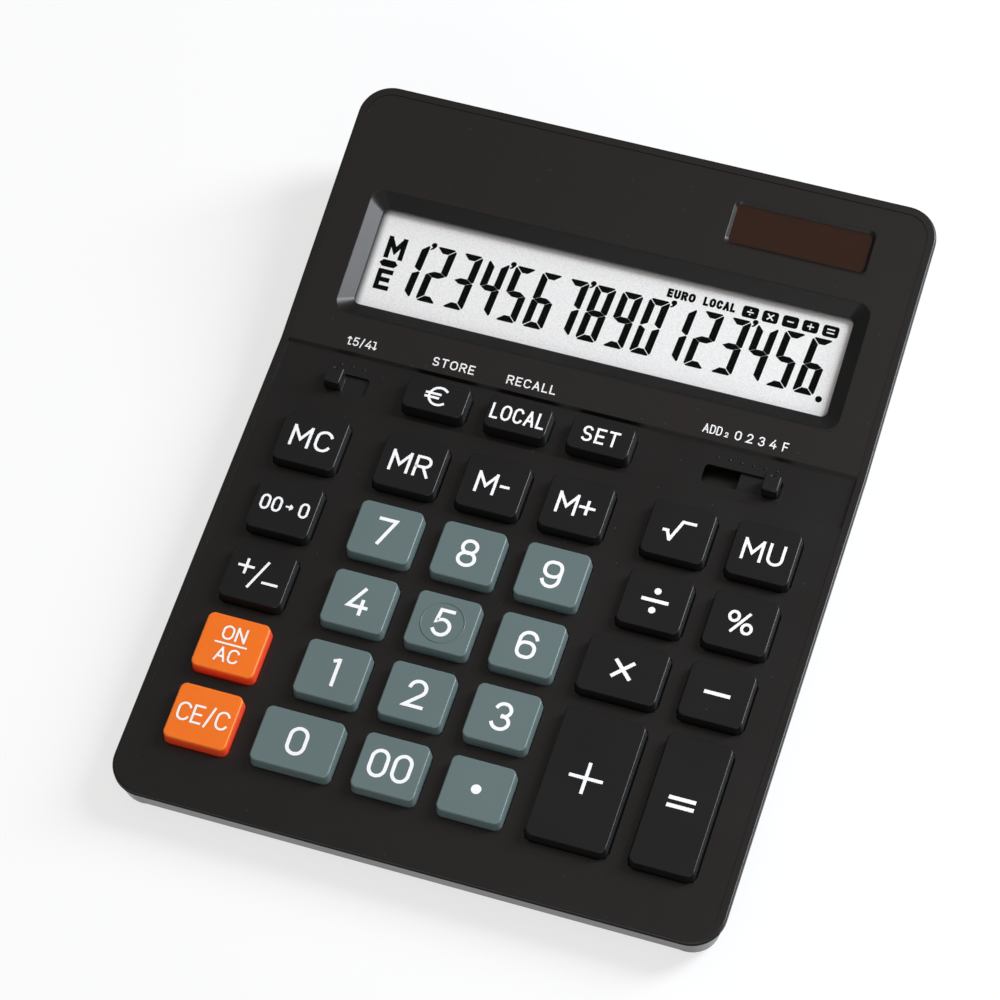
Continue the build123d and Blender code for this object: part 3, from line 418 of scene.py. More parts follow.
def modify(piece, kind, **values):
    """Adds a modifier with its values to a piece and applies it."""
    take(piece)
    modifier = piece.modifiers.new(kind.title(), kind)
    for name, value in values.items():
        setattr(modifier, name, value)
    bpy.ops.object.modifier_apply(modifier=modifier.name)


def smooth(piece, angle=35.0):
    """Shades a piece smooth, apart from edges sharper than an angle."""
    take(piece)
    bpy.ops.object.shade_smooth_by_angle(angle=radians(angle))
    modify(piece, "WEIGHTED_NORMAL", keep_sharp=True, weight=80)


def place(piece, matrix):
    """Puts a piece where it belongs, with its place in its mesh."""
    take(piece)
    piece.matrix_world = matrix
    bpy.ops.object.transform_apply(location=True, rotation=True, scale=True)
    return piece


def block(name, *size):
    """A box of a given size round the origin, open for editing."""
    deselect()
    bpy.ops.mesh.primitive_cube_add(size=1.0)
    piece = added(name)
    edit(piece)
    bpy.ops.transform.resize(value=size)
    return piece


def copy_of(source, name):
    """A copy of a piece with a mesh of its own."""
    piece = source.copy()
    piece.data = source.data.copy()
    piece.name = piece.data.name = name
    bpy.context.scene.collection.objects.link(piece)
    return piece


def join(name, pieces):
    """One piece made of several."""
    take(pieces[0])
    for piece in pieces:
        piece.select_set(True)
    if len(pieces) > 1:
        bpy.ops.object.join()
    return added(name)


def finish_named(name):
    """The material of a finish."""
    return bpy.data.materials[FINISH_PREFIX + name]


def attach(piece, body, material, node=None):
    """Hands a finished piece over: what it rides on, what it is made of and which solid it stands for."""
    piece.data.materials.clear()
    piece.data.materials.append(finish_named(material))
    for name in [key for key in piece.keys() if key.startswith("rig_")]:
        del piece[name]
    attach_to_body(piece, body)
    if node:
        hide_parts(node)
    return piece


def stand_in(piece, body, node):
    """Hands over a piece that takes the place of a solid, in that solid's own finish."""
    return attach(piece, body, SLOTS[node], node)


def dressed_copy(node, round_edge, segments=2, reshape=None):
    """A copy of a solid with its triangles joined into faces, reshaped where asked, and its sharp edges rounded."""
    piece = copy_of(frame["nodes"][node], node + "_dressed")
    piece.parent = None
    edit(piece)
    bpy.ops.mesh.remove_doubles(threshold=NEAR / 4)
    bpy.ops.mesh.dissolve_limited(angle_limit=FLAT_ANGLE)
    close()
    if reshape:
        reshape(piece)
    modify(
        piece, "BEVEL", width=round_edge, segments=segments, limit_method="ANGLE", angle_limit=SHARP_ANGLE,
        loop_slide=False, miter_outer="MITER_ARC",
    )
    smooth(piece)
    return piece


def corners_on(face, node):
    """The corners of a solid along the axes of a face."""
    into = face.inverted()
    return [into @ corner.co for corner in frame["nodes"][node].data.vertices]


def limits(corners):
    """The lowest and highest place among some corners, along each axis."""
    return [Vector([choose(corner[axis] for corner in corners) for axis in range(3)]) for choose in (min, max)]


def over(face, node, height=0.0):
    """The middle of a solid on a face, at a height over the rim, as a matrix."""
    low, high = limits(corners_on(face, node))
    return face @ Matrix.Translation(((low.x + high.x) / 2, (low.y + high.y) / 2, height))


def arc(x, y, *shape):
    """Points along part of a circle or ellipse, from its middle, one or two radii, and two angles in degrees."""
    *radii, first, last = shape
    steps = max(2, round(abs(last - first) / ARC_STEP))
    angles = [radians(first + (last - first) * step / steps) for step in range(steps + 1)]
    return [(x + radii[0] * cos(angle), y + radii[-1] * sin(angle)) for angle in angles]


def traced(items):
    """A stroke's points, from its points and arcs, without doubles."""
    points = []
    for item in items:
        for point in [item] if len(item) == 2 else arc(*item):
            if not points or dist(point, points[-1]) > SAME_POINT:
                points.append(point)
    if len(points) > 2 and dist(points[0], points[-1]) < SAME_POINT:
        points.pop()
    return points


def run_on(points, reach):
    """An open stroke's points with both ends moved out along the stroke."""
    moved = list(points)
    for end, inner in ((0, 1), (-1, -2)):
        scale = reach / dist(points[end], points[inner])
        moved[end] = tuple(at + (at - before) * scale for at, before in zip(points[end], points[inner]))
    return moved


def lettering(text, height, stroke, stretch=1.0, gap=0.0, x=0.0, y=0.0):
    """The strokes and dots of a line of text, centred on a place, in millimetres."""
    rise = (height - stroke) / LETTER_BOX
    run, base = rise * stretch, y - (height - stroke) / 2
    widths = [GLYPHS[letter][0] * run + stroke for letter in text]
    left = x - (sum(widths) + gap * (len(text) - 1)) / 2
    strokes, dots = [], []
    for letter, width in zip(text, widths):
        start = left + stroke / 2
        for kind, *items in map(str.split, GLYPHS[letter][1:]):
            items = [tuple(map(float, item.split(","))) for item in items]
            if kind == "dot":
                for dot_x, dot_y, radius in items:
                    dots.append((start + dot_x * run, base + dot_y * rise, radius * rise))
                continue
            points = [(start + px * run, base + py * rise) for px, py in traced(items)]
            if kind == "open":
                points = run_on(points, stroke / 2)
            strokes.append((points, kind == "ring"))
        left += width + gap
    return strokes, dots


def line_piece(name, lines, filled=False, lift=0.0):
    """A mesh of straight runs through points in millimetres, or of the areas inside. Each run may lie higher."""
    curve = bpy.data.curves.new(name, "CURVE")
    curve.dimensions = "2D" if filled else "3D"
    if filled:
        curve.fill_mode = "BOTH"
    for order, (points, closed) in enumerate(lines):
        spline = curve.splines.new("POLY")
        spline.points.add(len(points) - 1)
        for target, (x, y) in zip(spline.points, points):
            target.co = (x * MM, y * MM, order % STROKE_LEVELS * lift, 1.0)
        spline.use_cyclic_u = closed
    piece = bpy.data.objects.new(name, curve)
    bpy.context.scene.collection.objects.link(piece)
    take(piece)
    bpy.ops.object.convert(target="MESH")
    return bpy.context.object


def printed(name, rows, ink):
    """Rows of text as one flat print: each centre line is raised to a low wall and the wall is thickened."""
    pieces = []
    for order, (text, height, stroke, *rest) in enumerate(rows):
        strokes, dots = lettering(text, height, stroke, *rest)
        if strokes:
            piece = line_piece(f"{name}_row{order}", strokes, lift=ink * LEVEL_SHARE)
            edit(piece, "EDGE")
            extrude(ink)
            close()
            modify(piece, "SOLIDIFY", thickness=stroke * MM, offset=0.0, use_even_offset=True)
            pieces.append(piece)
        pieces += [printed_dot(*spot, ink) for spot in dots]
    piece = join(name, pieces)
    edit(piece)
    face_outward()
    close()
    return piece


def printed_dot(x, y, radius, ink):
    """A round printed dot."""
    deselect()
    bpy.ops.mesh.primitive_circle_add(vertices=DOT_SIDES, radius=radius * MM, fill_type="NGON")
    piece = bpy.context.object
    edit(piece, "FACE")
    extrude(ink)
    close()
    return place(piece, Matrix.Translation((x * MM, y * MM, 0)))


def cut_out(name, outlines, thickness):
    """Flat shapes with a thickness, from their outlines in millimetres."""
    piece = line_piece(name, [(points, True) for points in outlines], filled=True)
    edit(piece, "FACE")
    bpy.ops.mesh.remove_doubles(threshold=NEAR / 10)
    extrude(thickness)
    face_outward()
    close()
    return piece


def rounded_box(centre_x, centre_y, width, height, corner):
    """The outline of a rectangle with rounded corners."""
    points = []
    for side_x, side_y, first in ((1, 1, 0), (-1, 1, 90), (-1, -1, 180), (1, -1, 270)):
        x = centre_x + side_x * (width / 2 - corner)
        y = centre_y + side_y * (height / 2 - corner)
        points += arc(x, y, corner, first, first + 90)
    return points


class Nodes:
    """A tree of shader nodes under construction. Inputs may be fed with sockets or with constants."""

    def __init__(self, tree):
        self.tree = tree

    def feed(self, target, value):
        """Joins an input to a socket, or gives it a constant."""
        if isinstance(value, bpy.types.NodeSocket):
            self.tree.links.new(value, target)
        else:
            target.default_value = value

    def add(self, kind, inputs=(), **values):
        """A node with its own values and inputs."""
        node = self.tree.nodes.new("ShaderNode" + kind)
        for name, value in values.items():
            setattr(node, name, value)
        for name, value in dict(inputs).items():
            self.feed(node.inputs[name], value)
        return node

    def reckon(self, operation, *terms):
        """The result of a sum."""
        return self.add("Math", enumerate(terms), operation=operation).outputs[0]

    def ramp(self, value, start=0.0, end=1.0, low=0.0, high=1.0, **values):
        """A value brought from one pair of limits to another."""
        inputs = {"Value": value, "From Min": start, "From Max": end, "To Min": low, "To Max": high}
        return self.add("MapRange", inputs, **values).outputs["Result"]

    def blend(self, mask, first, second):
        """A colour that a mask moves from one to another."""
        node = self.add("Mix", {"Factor": mask}, data_type="RGBA")
        for label, value in (("A", first), ("B", second)):
            target = next(s for s in node.inputs if s.name == label and s.type == "RGBA")
            self.feed(target, value if isinstance(value, bpy.types.NodeSocket) else (*value, 1.0))
        return next(s for s in node.outputs if s.type == "RGBA")

    def spot(self, kind="Object"):
        """Where on the piece, or in the world, a point lies."""
        return self.add("TexCoord").outputs[kind]

    def axes(self, kind="Object"):
        """That place as three values."""
        return self.add("SeparateXYZ", {0: self.spot(kind)}).outputs


class Finish(Nodes):
    """A material under construction: a Principled shader, and the nodes that vary its colour and surface."""

    def __init__(self, name, **constants):
        self.material = bpy.data.materials.new(FINISH_PREFIX + name)
        self.material.use_nodes = True
        super().__init__(self.material.node_tree)
        self.shader = self.tree.nodes["Principled BSDF"]
        self.give(**constants)

    def give(self, **inputs):
        """Feeds the shader's inputs by their names."""
        for name, value in inputs.items():
            self.feed(self.shader.inputs[name.replace("_", " ")], value)

    def effect(self, group, **values):
        """What one of the shared effects puts out for its own values."""
        inputs = {name.replace("_", " "): value for name, value in values.items()}
        return self.add("Group", inputs, node_tree=bpy.data.node_groups[group]).outputs


def new_group(name, inputs, outputs):
    """An empty shader node group with named sockets: its tree, what it is given and what it puts out."""
    tree = bpy.data.node_groups.new(name, "ShaderNodeTree")
    for label, default in inputs.items():
        tree.interface.new_socket(name=label, in_out="INPUT", socket_type="NodeSocketFloat").default_value = default
    for label in outputs:
        tree.interface.new_socket(name=label, in_out="OUTPUT", socket_type="NodeSocketFloat")
    return Nodes(tree), tree.nodes.new("NodeGroupInput").outputs, tree.nodes.new("NodeGroupOutput").inputs


def make_moulded_grain():
    """Fine even grain of a spark-eroded mould, and the soft unevenness of the plastic under it."""
    made, given, put = new_group("Moulded grain", {"Grain size": 0.0003, "Cloud size": 0.02}, ("Height", "Cloud"))
    spot = made.spot()
    for size, target, detail in (("Grain size", "Height", 2.0), ("Cloud size", "Cloud", 3.0)):
        scale = made.reckon("DIVIDE", 1.0, given[size])
        noise = made.add("TexNoise", {"Vector": spot, "Scale": scale, "Detail": detail})
        made.feed(put[target], noise.outputs["Fac"])


def make_dust():
    """Sparse small specks of dust."""
    made, given, put = new_group("Dust", {"Spacing": 0.003, "Speck": 0.036, "Share": 0.3}, ("Mask",))
    scale = made.reckon("DIVIDE", 1.0, given["Spacing"])
    cells = made.add("TexVoronoi", {"Vector": made.spot(), "Scale": scale}).outputs
    near = made.reckon("LESS_THAN", cells["Distance"], given["Speck"])
    chance = made.add("SeparateColor", {"Color": cells["Color"]}).outputs["Red"]
    chosen = made.reckon("LESS_THAN", chance, given["Share"])
    made.feed(put["Mask"], made.reckon("MULTIPLY", near, chosen))


def scaled(values, factor):
    """A colour made lighter or darker."""
    return tuple(min(1.0, value * factor) for value in values)


def plastic(name, base, rough, grain=0.00030, depth=0.12, specular=0.35, contrast=0.12, dust=0.0):
    """Moulded plastic: a fine grain, a cloudy colour and sheen, and some dust."""
    made = Finish(name, Specular_IOR_Level=specular)
    moulded = made.effect("Moulded grain", Grain_size=grain)
    shade = made.blend(moulded["Cloud"], scaled(base, 1 - contrast), scaled(base, 1 + contrast))
    if dust:
        shade = made.blend(made.effect("Dust", Share=dust)["Mask"], shade, tint(*DUST_GREY))
    sheen = made.ramp(moulded["Cloud"], low=rough - SHEEN_SPREAD, high=rough + SHEEN_SPREAD)
    relief = made.add("Bump", {"Strength": depth, "Distance": GRAIN_HEIGHT, "Height": moulded["Height"]})
    made.give(Base_Color=shade, Roughness=sheen, Normal=relief.outputs["Normal"])
    return made


def paint_glow_down_sides(made, deep, top):
    """Paints a deeper red down a key's sides, from a little under its top: painted light that stands in for the red
    of light coming through the plastic.
    """
    upward = KEYPAD.col[2].xyz
    height = made.add("VectorMath", {0: made.spot(), 1: upward}, operation="DOT_PRODUCT").outputs["Value"]
    key_top = RIDGE.dot(upward) + top
    plain = made.shader.inputs["Base Color"].links[0].from_socket
    made.give(Base_Color=made.blend(made.ramp(height, key_top - GLOW_FULL_DEPTH, key_top - GLOW_START_DEPTH), deep, plain))


def display_ground(name, base):
    """The display's reflector: a fine sparkle, and the shade of the bezel along its left and back edges."""
    made = Finish(name, Roughness=0.7, Specular_IOR_Level=0.2)
    moulded = made.effect("Moulded grain", Grain_size=0.0004)
    sparkle = made.ramp(moulded["Height"], low=SPARKLE_LOW, high=SPARKLE_HIGH)
    shade = made.blend(sparkle, scaled(base, SPARKLE_DARK), base)
    axes = made.axes()
    for axis, (dark, clear) in (("X", SHADED_LEFT), ("Y", SHADED_BACK)):
        edge = made.ramp(axes[axis], dark, clear, interpolation_type="SMOOTHSTEP")
        shade = made.blend(edge, scaled(base, SHADE_DARK), shade)
    made.give(Base_Color=shade)


def metal(name, base, rough):
    """Plated metal with a faint cloud in its brightness."""
    made = Finish(name, Metallic=1.0)
    moulded = made.effect("Moulded grain", Grain_size=0.0002, Cloud_size=0.004)
    made.give(
        Base_Color=made.blend(moulded["Cloud"], scaled(base, 0.85), scaled(base, 1.1)),
        Roughness=made.ramp(moulded["Height"], low=rough - 0.08, high=rough + 0.1),
    )


def clear_window(name, base, alpha, rough, specular=0.5):
    """A clear polished sheet with a faint film on it."""
    made = Finish(name, Alpha=alpha, Specular_IOR_Level=specular)
    moulded = made.effect("Moulded grain", Grain_size=0.0008, Cloud_size=0.03)
    made.give(
        Base_Color=made.blend(moulded["Cloud"], scaled(base, 0.9), base),
        Roughness=made.ramp(moulded["Cloud"], low=rough, high=rough + 0.08),
    )


def striped(name, base, line, pitch, width, rough):
    """A sheet divided by fine lines across its length."""
    made = Finish(name, Roughness=rough, Specular_IOR_Level=0.5)
    share = made.reckon("FRACT", made.reckon("DIVIDE", made.axes()["X"], pitch))
    on_line = made.reckon("LESS_THAN", share, width / pitch)
    moulded = made.effect("Moulded grain", Grain_size=0.0004, Cloud_size=0.012)
    shade = made.blend(moulded["Cloud"], scaled(base, 0.8), scaled(base, 1.2))
    made.give(Base_Color=made.blend(on_line, shade, line))


class CALCULATOR_OT_finishes(bpy.types.Operator):
    """Mixes the plastics, inks, glass and metals"""

    bl_idname = "calculator.finishes"
    bl_label = "Mix the finishes"

    def execute(self, context):
        colours = context.scene.calculator_finishes
        make_moulded_grain()
        make_dust()
        plastic("case_top", colours.case_black, 0.35, specular=0.42, dust=0.5)
        plastic("case_edge", colours.case_black, 0.6, specular=0.03)
        plastic("case_bottom", colours.base_black, 0.27, specular=0.5)
        plastic("key_black", colours.key_black, 0.30, grain=0.00022, depth=0.02, specular=0.25, dust=0.12)
        plastic("key_grey", colours.key_grey, 0.32, grain=0.00022, depth=0.02, specular=0.42, contrast=0.05)
        orange = plastic("key_orange", colours.key_orange, 0.32, depth=0.02, specular=0.42, contrast=0.04)
        orange.give(Subsurface_Weight=0.3, Subsurface_Radius=(1.0, 0.22, 0.08), Subsurface_Scale=1.5 * MM)
        # painted light: a deeper red down the orange keys' sides stands in for light coming through the plastic
        paint_glow_down_sides(orange, tint(255, 74, 40), context.scene.calculator_keys.height)
        plastic("switch_knob", colours.key_black, 0.34, grain=0.00020, specular=0.3)
        plastic("key_ink", colours.ink_white, 0.5, grain=0.00015, specular=0.3, contrast=0.03)
        display_ground("lcd_ground", colours.lcd_ground)
        plastic("lcd_ink", colours.lcd_ink, 0.5, specular=0.0)
        clear_window("window", tint(60, 62, 62), 0.02, 0.04)
        clear_window("solar_window", tint(54, 33, 23), 0.75, 0.12, 0.2)
        striped("solar_glass", colours.solar_brown, tint(60, 42, 32), 0.00882, 0.00025, 0.25)
        plastic("membrane", tint(158, 158, 152), 0.7, contrast=0.05)
        plastic("board", colours.board_green, 0.35, grain=0.0006, specular=0.45)
        plastic("resin", tint(22, 22, 24), 0.3, grain=0.0008, specular=0.45)
        plastic("holder", tint(184, 184, 178), 0.5, contrast=0.05)
        striped("ribbon", tint(148, 120, 72), tint(190, 166, 120), 0.0008, 0.00035, 0.35)
        plastic("cable", tint(138, 34, 30), 0.5, contrast=0.08)
        metal("plated_steel", tint(205, 205, 200), 0.28)
        metal("screw_steel", tint(130, 130, 134), 0.34)
        plastic("foot_rubber", tint(26, 26, 26), 0.8, grain=0.0005, depth=0.3, specular=0.2)
        return {"FINISHED"}


class CALCULATOR_OT_case(bpy.types.Operator):
    """Rounds the edges of the shells, the battery cover and the feet, and adds the pips of the switches"""

    bl_idname = "calculator.case"
    bl_label = "Dress the case"

    def execute(self, context):
        sizes = context.scene.calculator_case
        upper = stand_in(dressed_copy("upper_case", sizes.edge_round), "case", "upper_case")
        self.dull_front(upper)
        lower = dressed_copy("lower_case", sizes.edge_round, reshape=self.steepen_front)
        stand_in(lower, "case", "lower_case")
        stand_in(dressed_copy("battery_cover", sizes.edge_round), "case", "battery_cover")
        stand_in(dressed_copy("rubber_feet", sizes.foot_round, segments=3), "case", "rubber_feet")
        pips = []
        for slider, count, way in SWITCH_PLACES:
            rest = self.knob_middle(slider)
            pips += [self.pip(rest + way * step * sizes.pip_pitch, sizes) for step in range(count)]
        attach(join("switch_pips", pips), "case", "case_top")
        return {"FINISHED"}

    def dull_front(self, piece):
        """Gives the upright front edge of the upper case its dull finish."""
        piece.data.materials.append(finish_named("case_edge"))
        for face in piece.data.polygons:
            upright = face.normal.y < FRONT_FACING and abs(face.normal.z) < FRONT_UPRIGHT
            if upright and face.center.y < FRONT_EDGE:
                face.material_index = 1

    def steepen_front(self, piece):
        """Brings the foot of the front wall forward, so that the wall leans back less under the upper case."""
        for point in piece.data.vertices:
            across = max(0.0, abs(point.co.x) - WALL_CORNER[0])
            outward = Vector((copysign(across, point.co.x), point.co.y - WALL_CORNER[1], 0.0))
            drop = FRONT_TOP - point.co.z
            if drop > 0 and outward.y < 0 and outward.length > WALL_INSIDE:
                outward.normalize()
                slope = -outward.y * (FRONT_LEAN + CORNER_LEAN * abs(outward.x))
                point.co += outward * slope * drop

    def knob_middle(self, slider):
        """Where a switch's knob stands across the face."""
        corners = corners_on(KEYPAD, slider)
        top = max(corner.z for corner in corners)
        across = [corner.x for corner in corners if corner.z > top - KNOB_SLICE]
        return (min(across) + max(across)) / 2

    def pip(self, x, sizes):
        """A low round pip on the floor of the switch channel."""
        deselect()
        bpy.ops.mesh.primitive_uv_sphere_add(segments=20, ring_count=10, radius=sizes.pip_radius)
        piece = added("switch_pip")
        edit(piece)
        bpy.ops.transform.resize(value=(1, 1, sizes.pip_height / sizes.pip_radius))
        bpy.ops.mesh.bisect(plane_co=(0, 0, -NEAR), plane_no=(0, 0, 1), clear_inner=True)
        close()
        smooth(piece, angle=60)
        return place(piece, KEYPAD @ Matrix.Translation((x, -sizes.pip_row, -sizes.channel_depth)))


class CALCULATOR_OT_bezels(bpy.types.Operator):
    """Lines the recesses of the display and the solar window with slopes that turn their corners in a curve"""

    bl_idname = "calculator.bezels"
    bl_label = "Line the recesses"

    def execute(self, context):
        for name, x, y, width, height, rings in BEZELS:
            loops = [(rounded_box(x, y, width + 2 * grow, height + 2 * grow, corner), z) for grow, corner, z in rings]
            piece = join(name, [self.band(name, *pair) for pair in zip(loops, loops[1:])])
            edit(piece)
            bpy.ops.mesh.remove_doubles(threshold=NEAR / 4)
            face_outward()
            close()
            if sum(face.normal.z for face in piece.data.polygons) < 0:
                edit(piece)
                bpy.ops.mesh.flip_normals()
                close()
            modify(piece, "BEVEL", width=BEZEL_EDGE, segments=3, limit_method="ANGLE", angle_limit=BEZEL_BEND)
            modify(piece, "SOLIDIFY", thickness=BEZEL_SKIN, offset=-1.0, use_even_offset=True)
            smooth(piece)
            attach(place(piece, DISPLAY), "case", "case_top")
        return {"FINISHED"}

    def band(self, name, *loops):
        """A strip of faces between two closed rings."""
        rings = [
            place(line_piece(name, [(points, True)]), Matrix.Translation((0, 0, z * MM))) for points, z in loops
        ]
        piece = join(name, rings)
        edit(piece, "EDGE")
        bpy.ops.mesh.bridge_edge_loops()
        close()
        return piece


class CALCULATOR_OT_keys(bpy.types.Operator):
    """Models one key of each size and puts a copy over every key"""

    bl_idname = "calculator.keys"
    bl_label = "Model the keys"

    def execute(self, context):
        sizes = context.scene.calculator_keys
        margin = sizes.spread + sizes.overhang
        patterns = {}
        for node in [name for name in frame["nodes"] if name.startswith("key_") and name != "key_membrane"]:
            low, high = limits(corners_on(KEYPAD, node))
            across, along = (high.x - low.x - 2 * margin, high.y - low.y - 2 * margin)
            form = (round(across / MM, 2), round(along / MM, 2))
            if form not in patterns:
                patterns[form] = self.model(across, along, sizes)
            stand_in(place(copy_of(patterns[form], node + "_cap"), over(KEYPAD, node)), node, node)
        for pattern in patterns.values():
            bpy.data.objects.remove(pattern)
        return {"FINISHED"}

    def model(self, across, along, sizes):
        """A hollow cap with leaning sides, rounded corners and upper edge, and a flange at its foot."""
        wide, deep = across + 2 * sizes.spread, along + 2 * sizes.spread
        piece = block("key_pattern", wide, deep, sizes.height + sizes.foot)
        bpy.ops.transform.translate(value=(0, 0, (sizes.height - sizes.foot) / 2))
        pick("FACE", level_with(sizes.height))
        bpy.ops.transform.resize(value=(across / wide, along / deep, 1))
        round_edges(rising(sizes.height), sizes.corner, segments=7)
        round_edges(level_with(sizes.height), sizes.edge, segments=4)
        pick("FACE", level_with(-sizes.foot))
        extrude(0)
        bpy.ops.transform.resize(value=(1 + 2 * sizes.overhang / wide, 1 + 2 * sizes.overhang / deep, 1))
        extrude(-sizes.flange)
        bpy.ops.mesh.inset(thickness=sizes.overhang + sizes.wall)
        extrude(sizes.height - sizes.wall + sizes.foot + sizes.flange)
        face_outward()
        close()
        smooth(piece, angle=40)
        return piece


class CALCULATOR_OT_key_legends(bpy.types.Operator):
    """Prints the marks on the key tops and raises the ring on the middle key"""

    bl_idname = "calculator.key_legends"
    bl_label = "Print the keys"

    def execute(self, context):
        sizes = context.scene.calculator_keys
        for name, rows in KEY_LEGENDS.items():
            node = "key_" + name
            piece = printed(node + "_legend", rows, sizes.ink)
            attach(place(piece, over(KEYPAD, node, sizes.height - sizes.ink * SUNK_SHARE)), node, "key_ink")
        self.ring(sizes)
        return {"FINISHED"}

    def ring(self, sizes):
        """A fine raised ring round the mark of the middle key."""
        deselect()
        bpy.ops.mesh.primitive_torus_add(
            major_segments=96, minor_segments=10, major_radius=sizes.ring_radius, minor_radius=sizes.ring_width / 2
        )
        piece = added("key_5_ring")
        edit(piece)
        bpy.ops.transform.resize(value=RING_FLATNESS)
        close()
        smooth(piece, angle=60)
        attach(place(piece, over(KEYPAD, "key_5", sizes.height)), "key_5", "key_grey")


class CALCULATOR_OT_switches(bpy.types.Operator):
    """Rounds the edges of the two slide switches"""

    bl_idname = "calculator.switches"
    bl_label = "Dress the switches"

    def execute(self, context):
        for switch in ("rounding_switch", "decimal_switch"):
            node = switch + "_slider"
            stand_in(dressed_copy(node, context.scene.calculator_case.knob_round, segments=3), switch, node)
        return {"FINISHED"}


class CALCULATOR_OT_display(bpy.types.Operator):
    """Sets the figures and signs on the display panel, and a clear window over it"""

    bl_idname = "calculator.display"
    bl_label = "Fill the display"

    def execute(self, context):
        sizes = context.scene.calculator_display
        ink = context.scene.calculator_keys.ink
        surface = DISPLAY @ Matrix.Translation((0, 0, -sizes.panel_depth))
        frame["nodes"]["lcd_panel"].material_slots[0].material = finish_named("lcd_ground")
        figures, boxes, signs = [], [MINUS_BAR], []
        for index, figure in enumerate(SHOWN_FIGURES):
            figures += self.figure(figure, sizes.first_x + index * sizes.pitch, sizes)
        points = [self.comma(sizes.first_x + (index + 0.5) * sizes.pitch, sizes) for index in MARKED_FIGURES]
        point_x = (sizes.first_x + POINT_PITCHES * sizes.pitch) / MM
        points.append(arc(point_x, sizes.base_y / MM - POINT_DROP, POINT_RADIUS, 0, 350))
        for index, (sign, height, stretch) in enumerate(BOXED_SIGNS):
            x = FIRST_BOX + BOX_PITCH * index
            boxes.append(rounded_box(x, BOX_ROW, *BOX_SIZE))
            signs.append((sign, height, BOX_STROKE, stretch, 0, x, BOX_ROW))
        for piece in (
            cut_out("lcd_figures", figures, ink),
            cut_out("lcd_points", points, ink),
            printed("lcd_words", DISPLAY_WORDS, ink),
            cut_out("lcd_boxes", boxes, ink),
        ):
            attach(place(piece, surface), "case", "lcd_ink")
        piece = place(printed("lcd_box_signs", signs, ink), surface @ Matrix.Translation((0, 0, ink)))
        attach(piece, "case", "lcd_ground")
        for node in ("display_window", "solar_window"):
            self.window(node, sizes)
        return {"FINISHED"}

    def lean(self, points, x, sizes):
        """Points of a figure, leant over and brought to their place, in millimetres."""
        slope = tan(sizes.slant)
        left, half = x - sizes.width / 2, sizes.height / 2
        return [((left + px + (py - half) * slope) / MM, (sizes.base_y + py) / MM) for px, py in points]

    def figure(self, figure, x, sizes):
        """The outlines of one figure's dark bars."""
        width, height, gap = sizes.width, sizes.height, sizes.gap
        upright, level, middle = sizes.upright, sizes.level, sizes.height / 2
        blunt, tip = sizes.blunt, width - sizes.blunt - gap
        tip_drop = blunt * level / upright
        right_bar = [
            (width - blunt, height - tip_drop - gap), (width, height - 2 * blunt - gap), (width, middle + blunt),
            (tip, middle + gap / 2), (width - upright, middle + level / 2 + gap / 2),
            (width - upright, height - level - gap),
        ]
        top_bar = [
            (blunt + gap, height - tip_drop), (2 * blunt + gap, height), (width - 2 * blunt - gap, height),
            (width - blunt - gap, height - tip_drop), (width - upright - gap, height - level),
            (upright + gap, height - level),
        ]
        cross_bar = [
            (width - tip, middle), (upright, middle + level / 2), (width - upright, middle + level / 2),
            (tip, middle), (width - upright, middle - level / 2), (upright, middle - level / 2),
        ]
        bars = {
            "a": top_bar, "b": right_bar, "g": cross_bar,
            "c": [(px, height - py) for px, py in right_bar],
            "d": [(px, height - py) for px, py in top_bar],
            "e": [(width - px, height - py) for px, py in right_bar],
            "f": [(width - px, py) for px, py in right_bar],
        }
        return [self.lean(bars[bar], x, sizes) for bar in SEVEN_BARS[figure]]

    def comma(self, x, sizes):
        """A comma-shaped mark at the head of the line, between two figures."""
        outline = arc(*COMMA_HEAD) + COMMA_TAIL
        return self.lean([(sizes.width / 2 + px * MM, sizes.height + py * MM) for px, py in outline], x, sizes)

    def window(self, node, sizes):
        """A thin clear sheet with rounded corners and edges, level with the top of its solid."""
        low, high = limits(corners_on(DISPLAY, node))
        thickness = (high.z - low.z) * sizes.window_share
        piece = block(node + "_sheet", high.x - low.x, high.y - low.y, thickness)
        round_edges(rising(thickness / 2), SHEET_CORNER, segments=4)
        round_edges(level_with(thickness / 2), SHEET_EDGE, segments=2)
        close()
        smooth(piece)
        stand_in(place(piece, over(DISPLAY, node, high.z - thickness / 2)), "case", node)


class CALCULATOR_OT_panel_legends(bpy.types.Operator):
    """Prints the words along the front of the display face"""

    bl_idname = "calculator.panel_legends"
    bl_label = "Print the panel"

    def execute(self, context):
        ink = context.scene.calculator_keys.ink
        piece = printed("panel_legends", PANEL_LEGENDS, ink)
        attach(place(piece, DISPLAY @ Matrix.Translation((0, 0, -PANEL_DROP - ink * SUNK_SHARE))), "case", "key_ink")
        return {"FINISHED"}


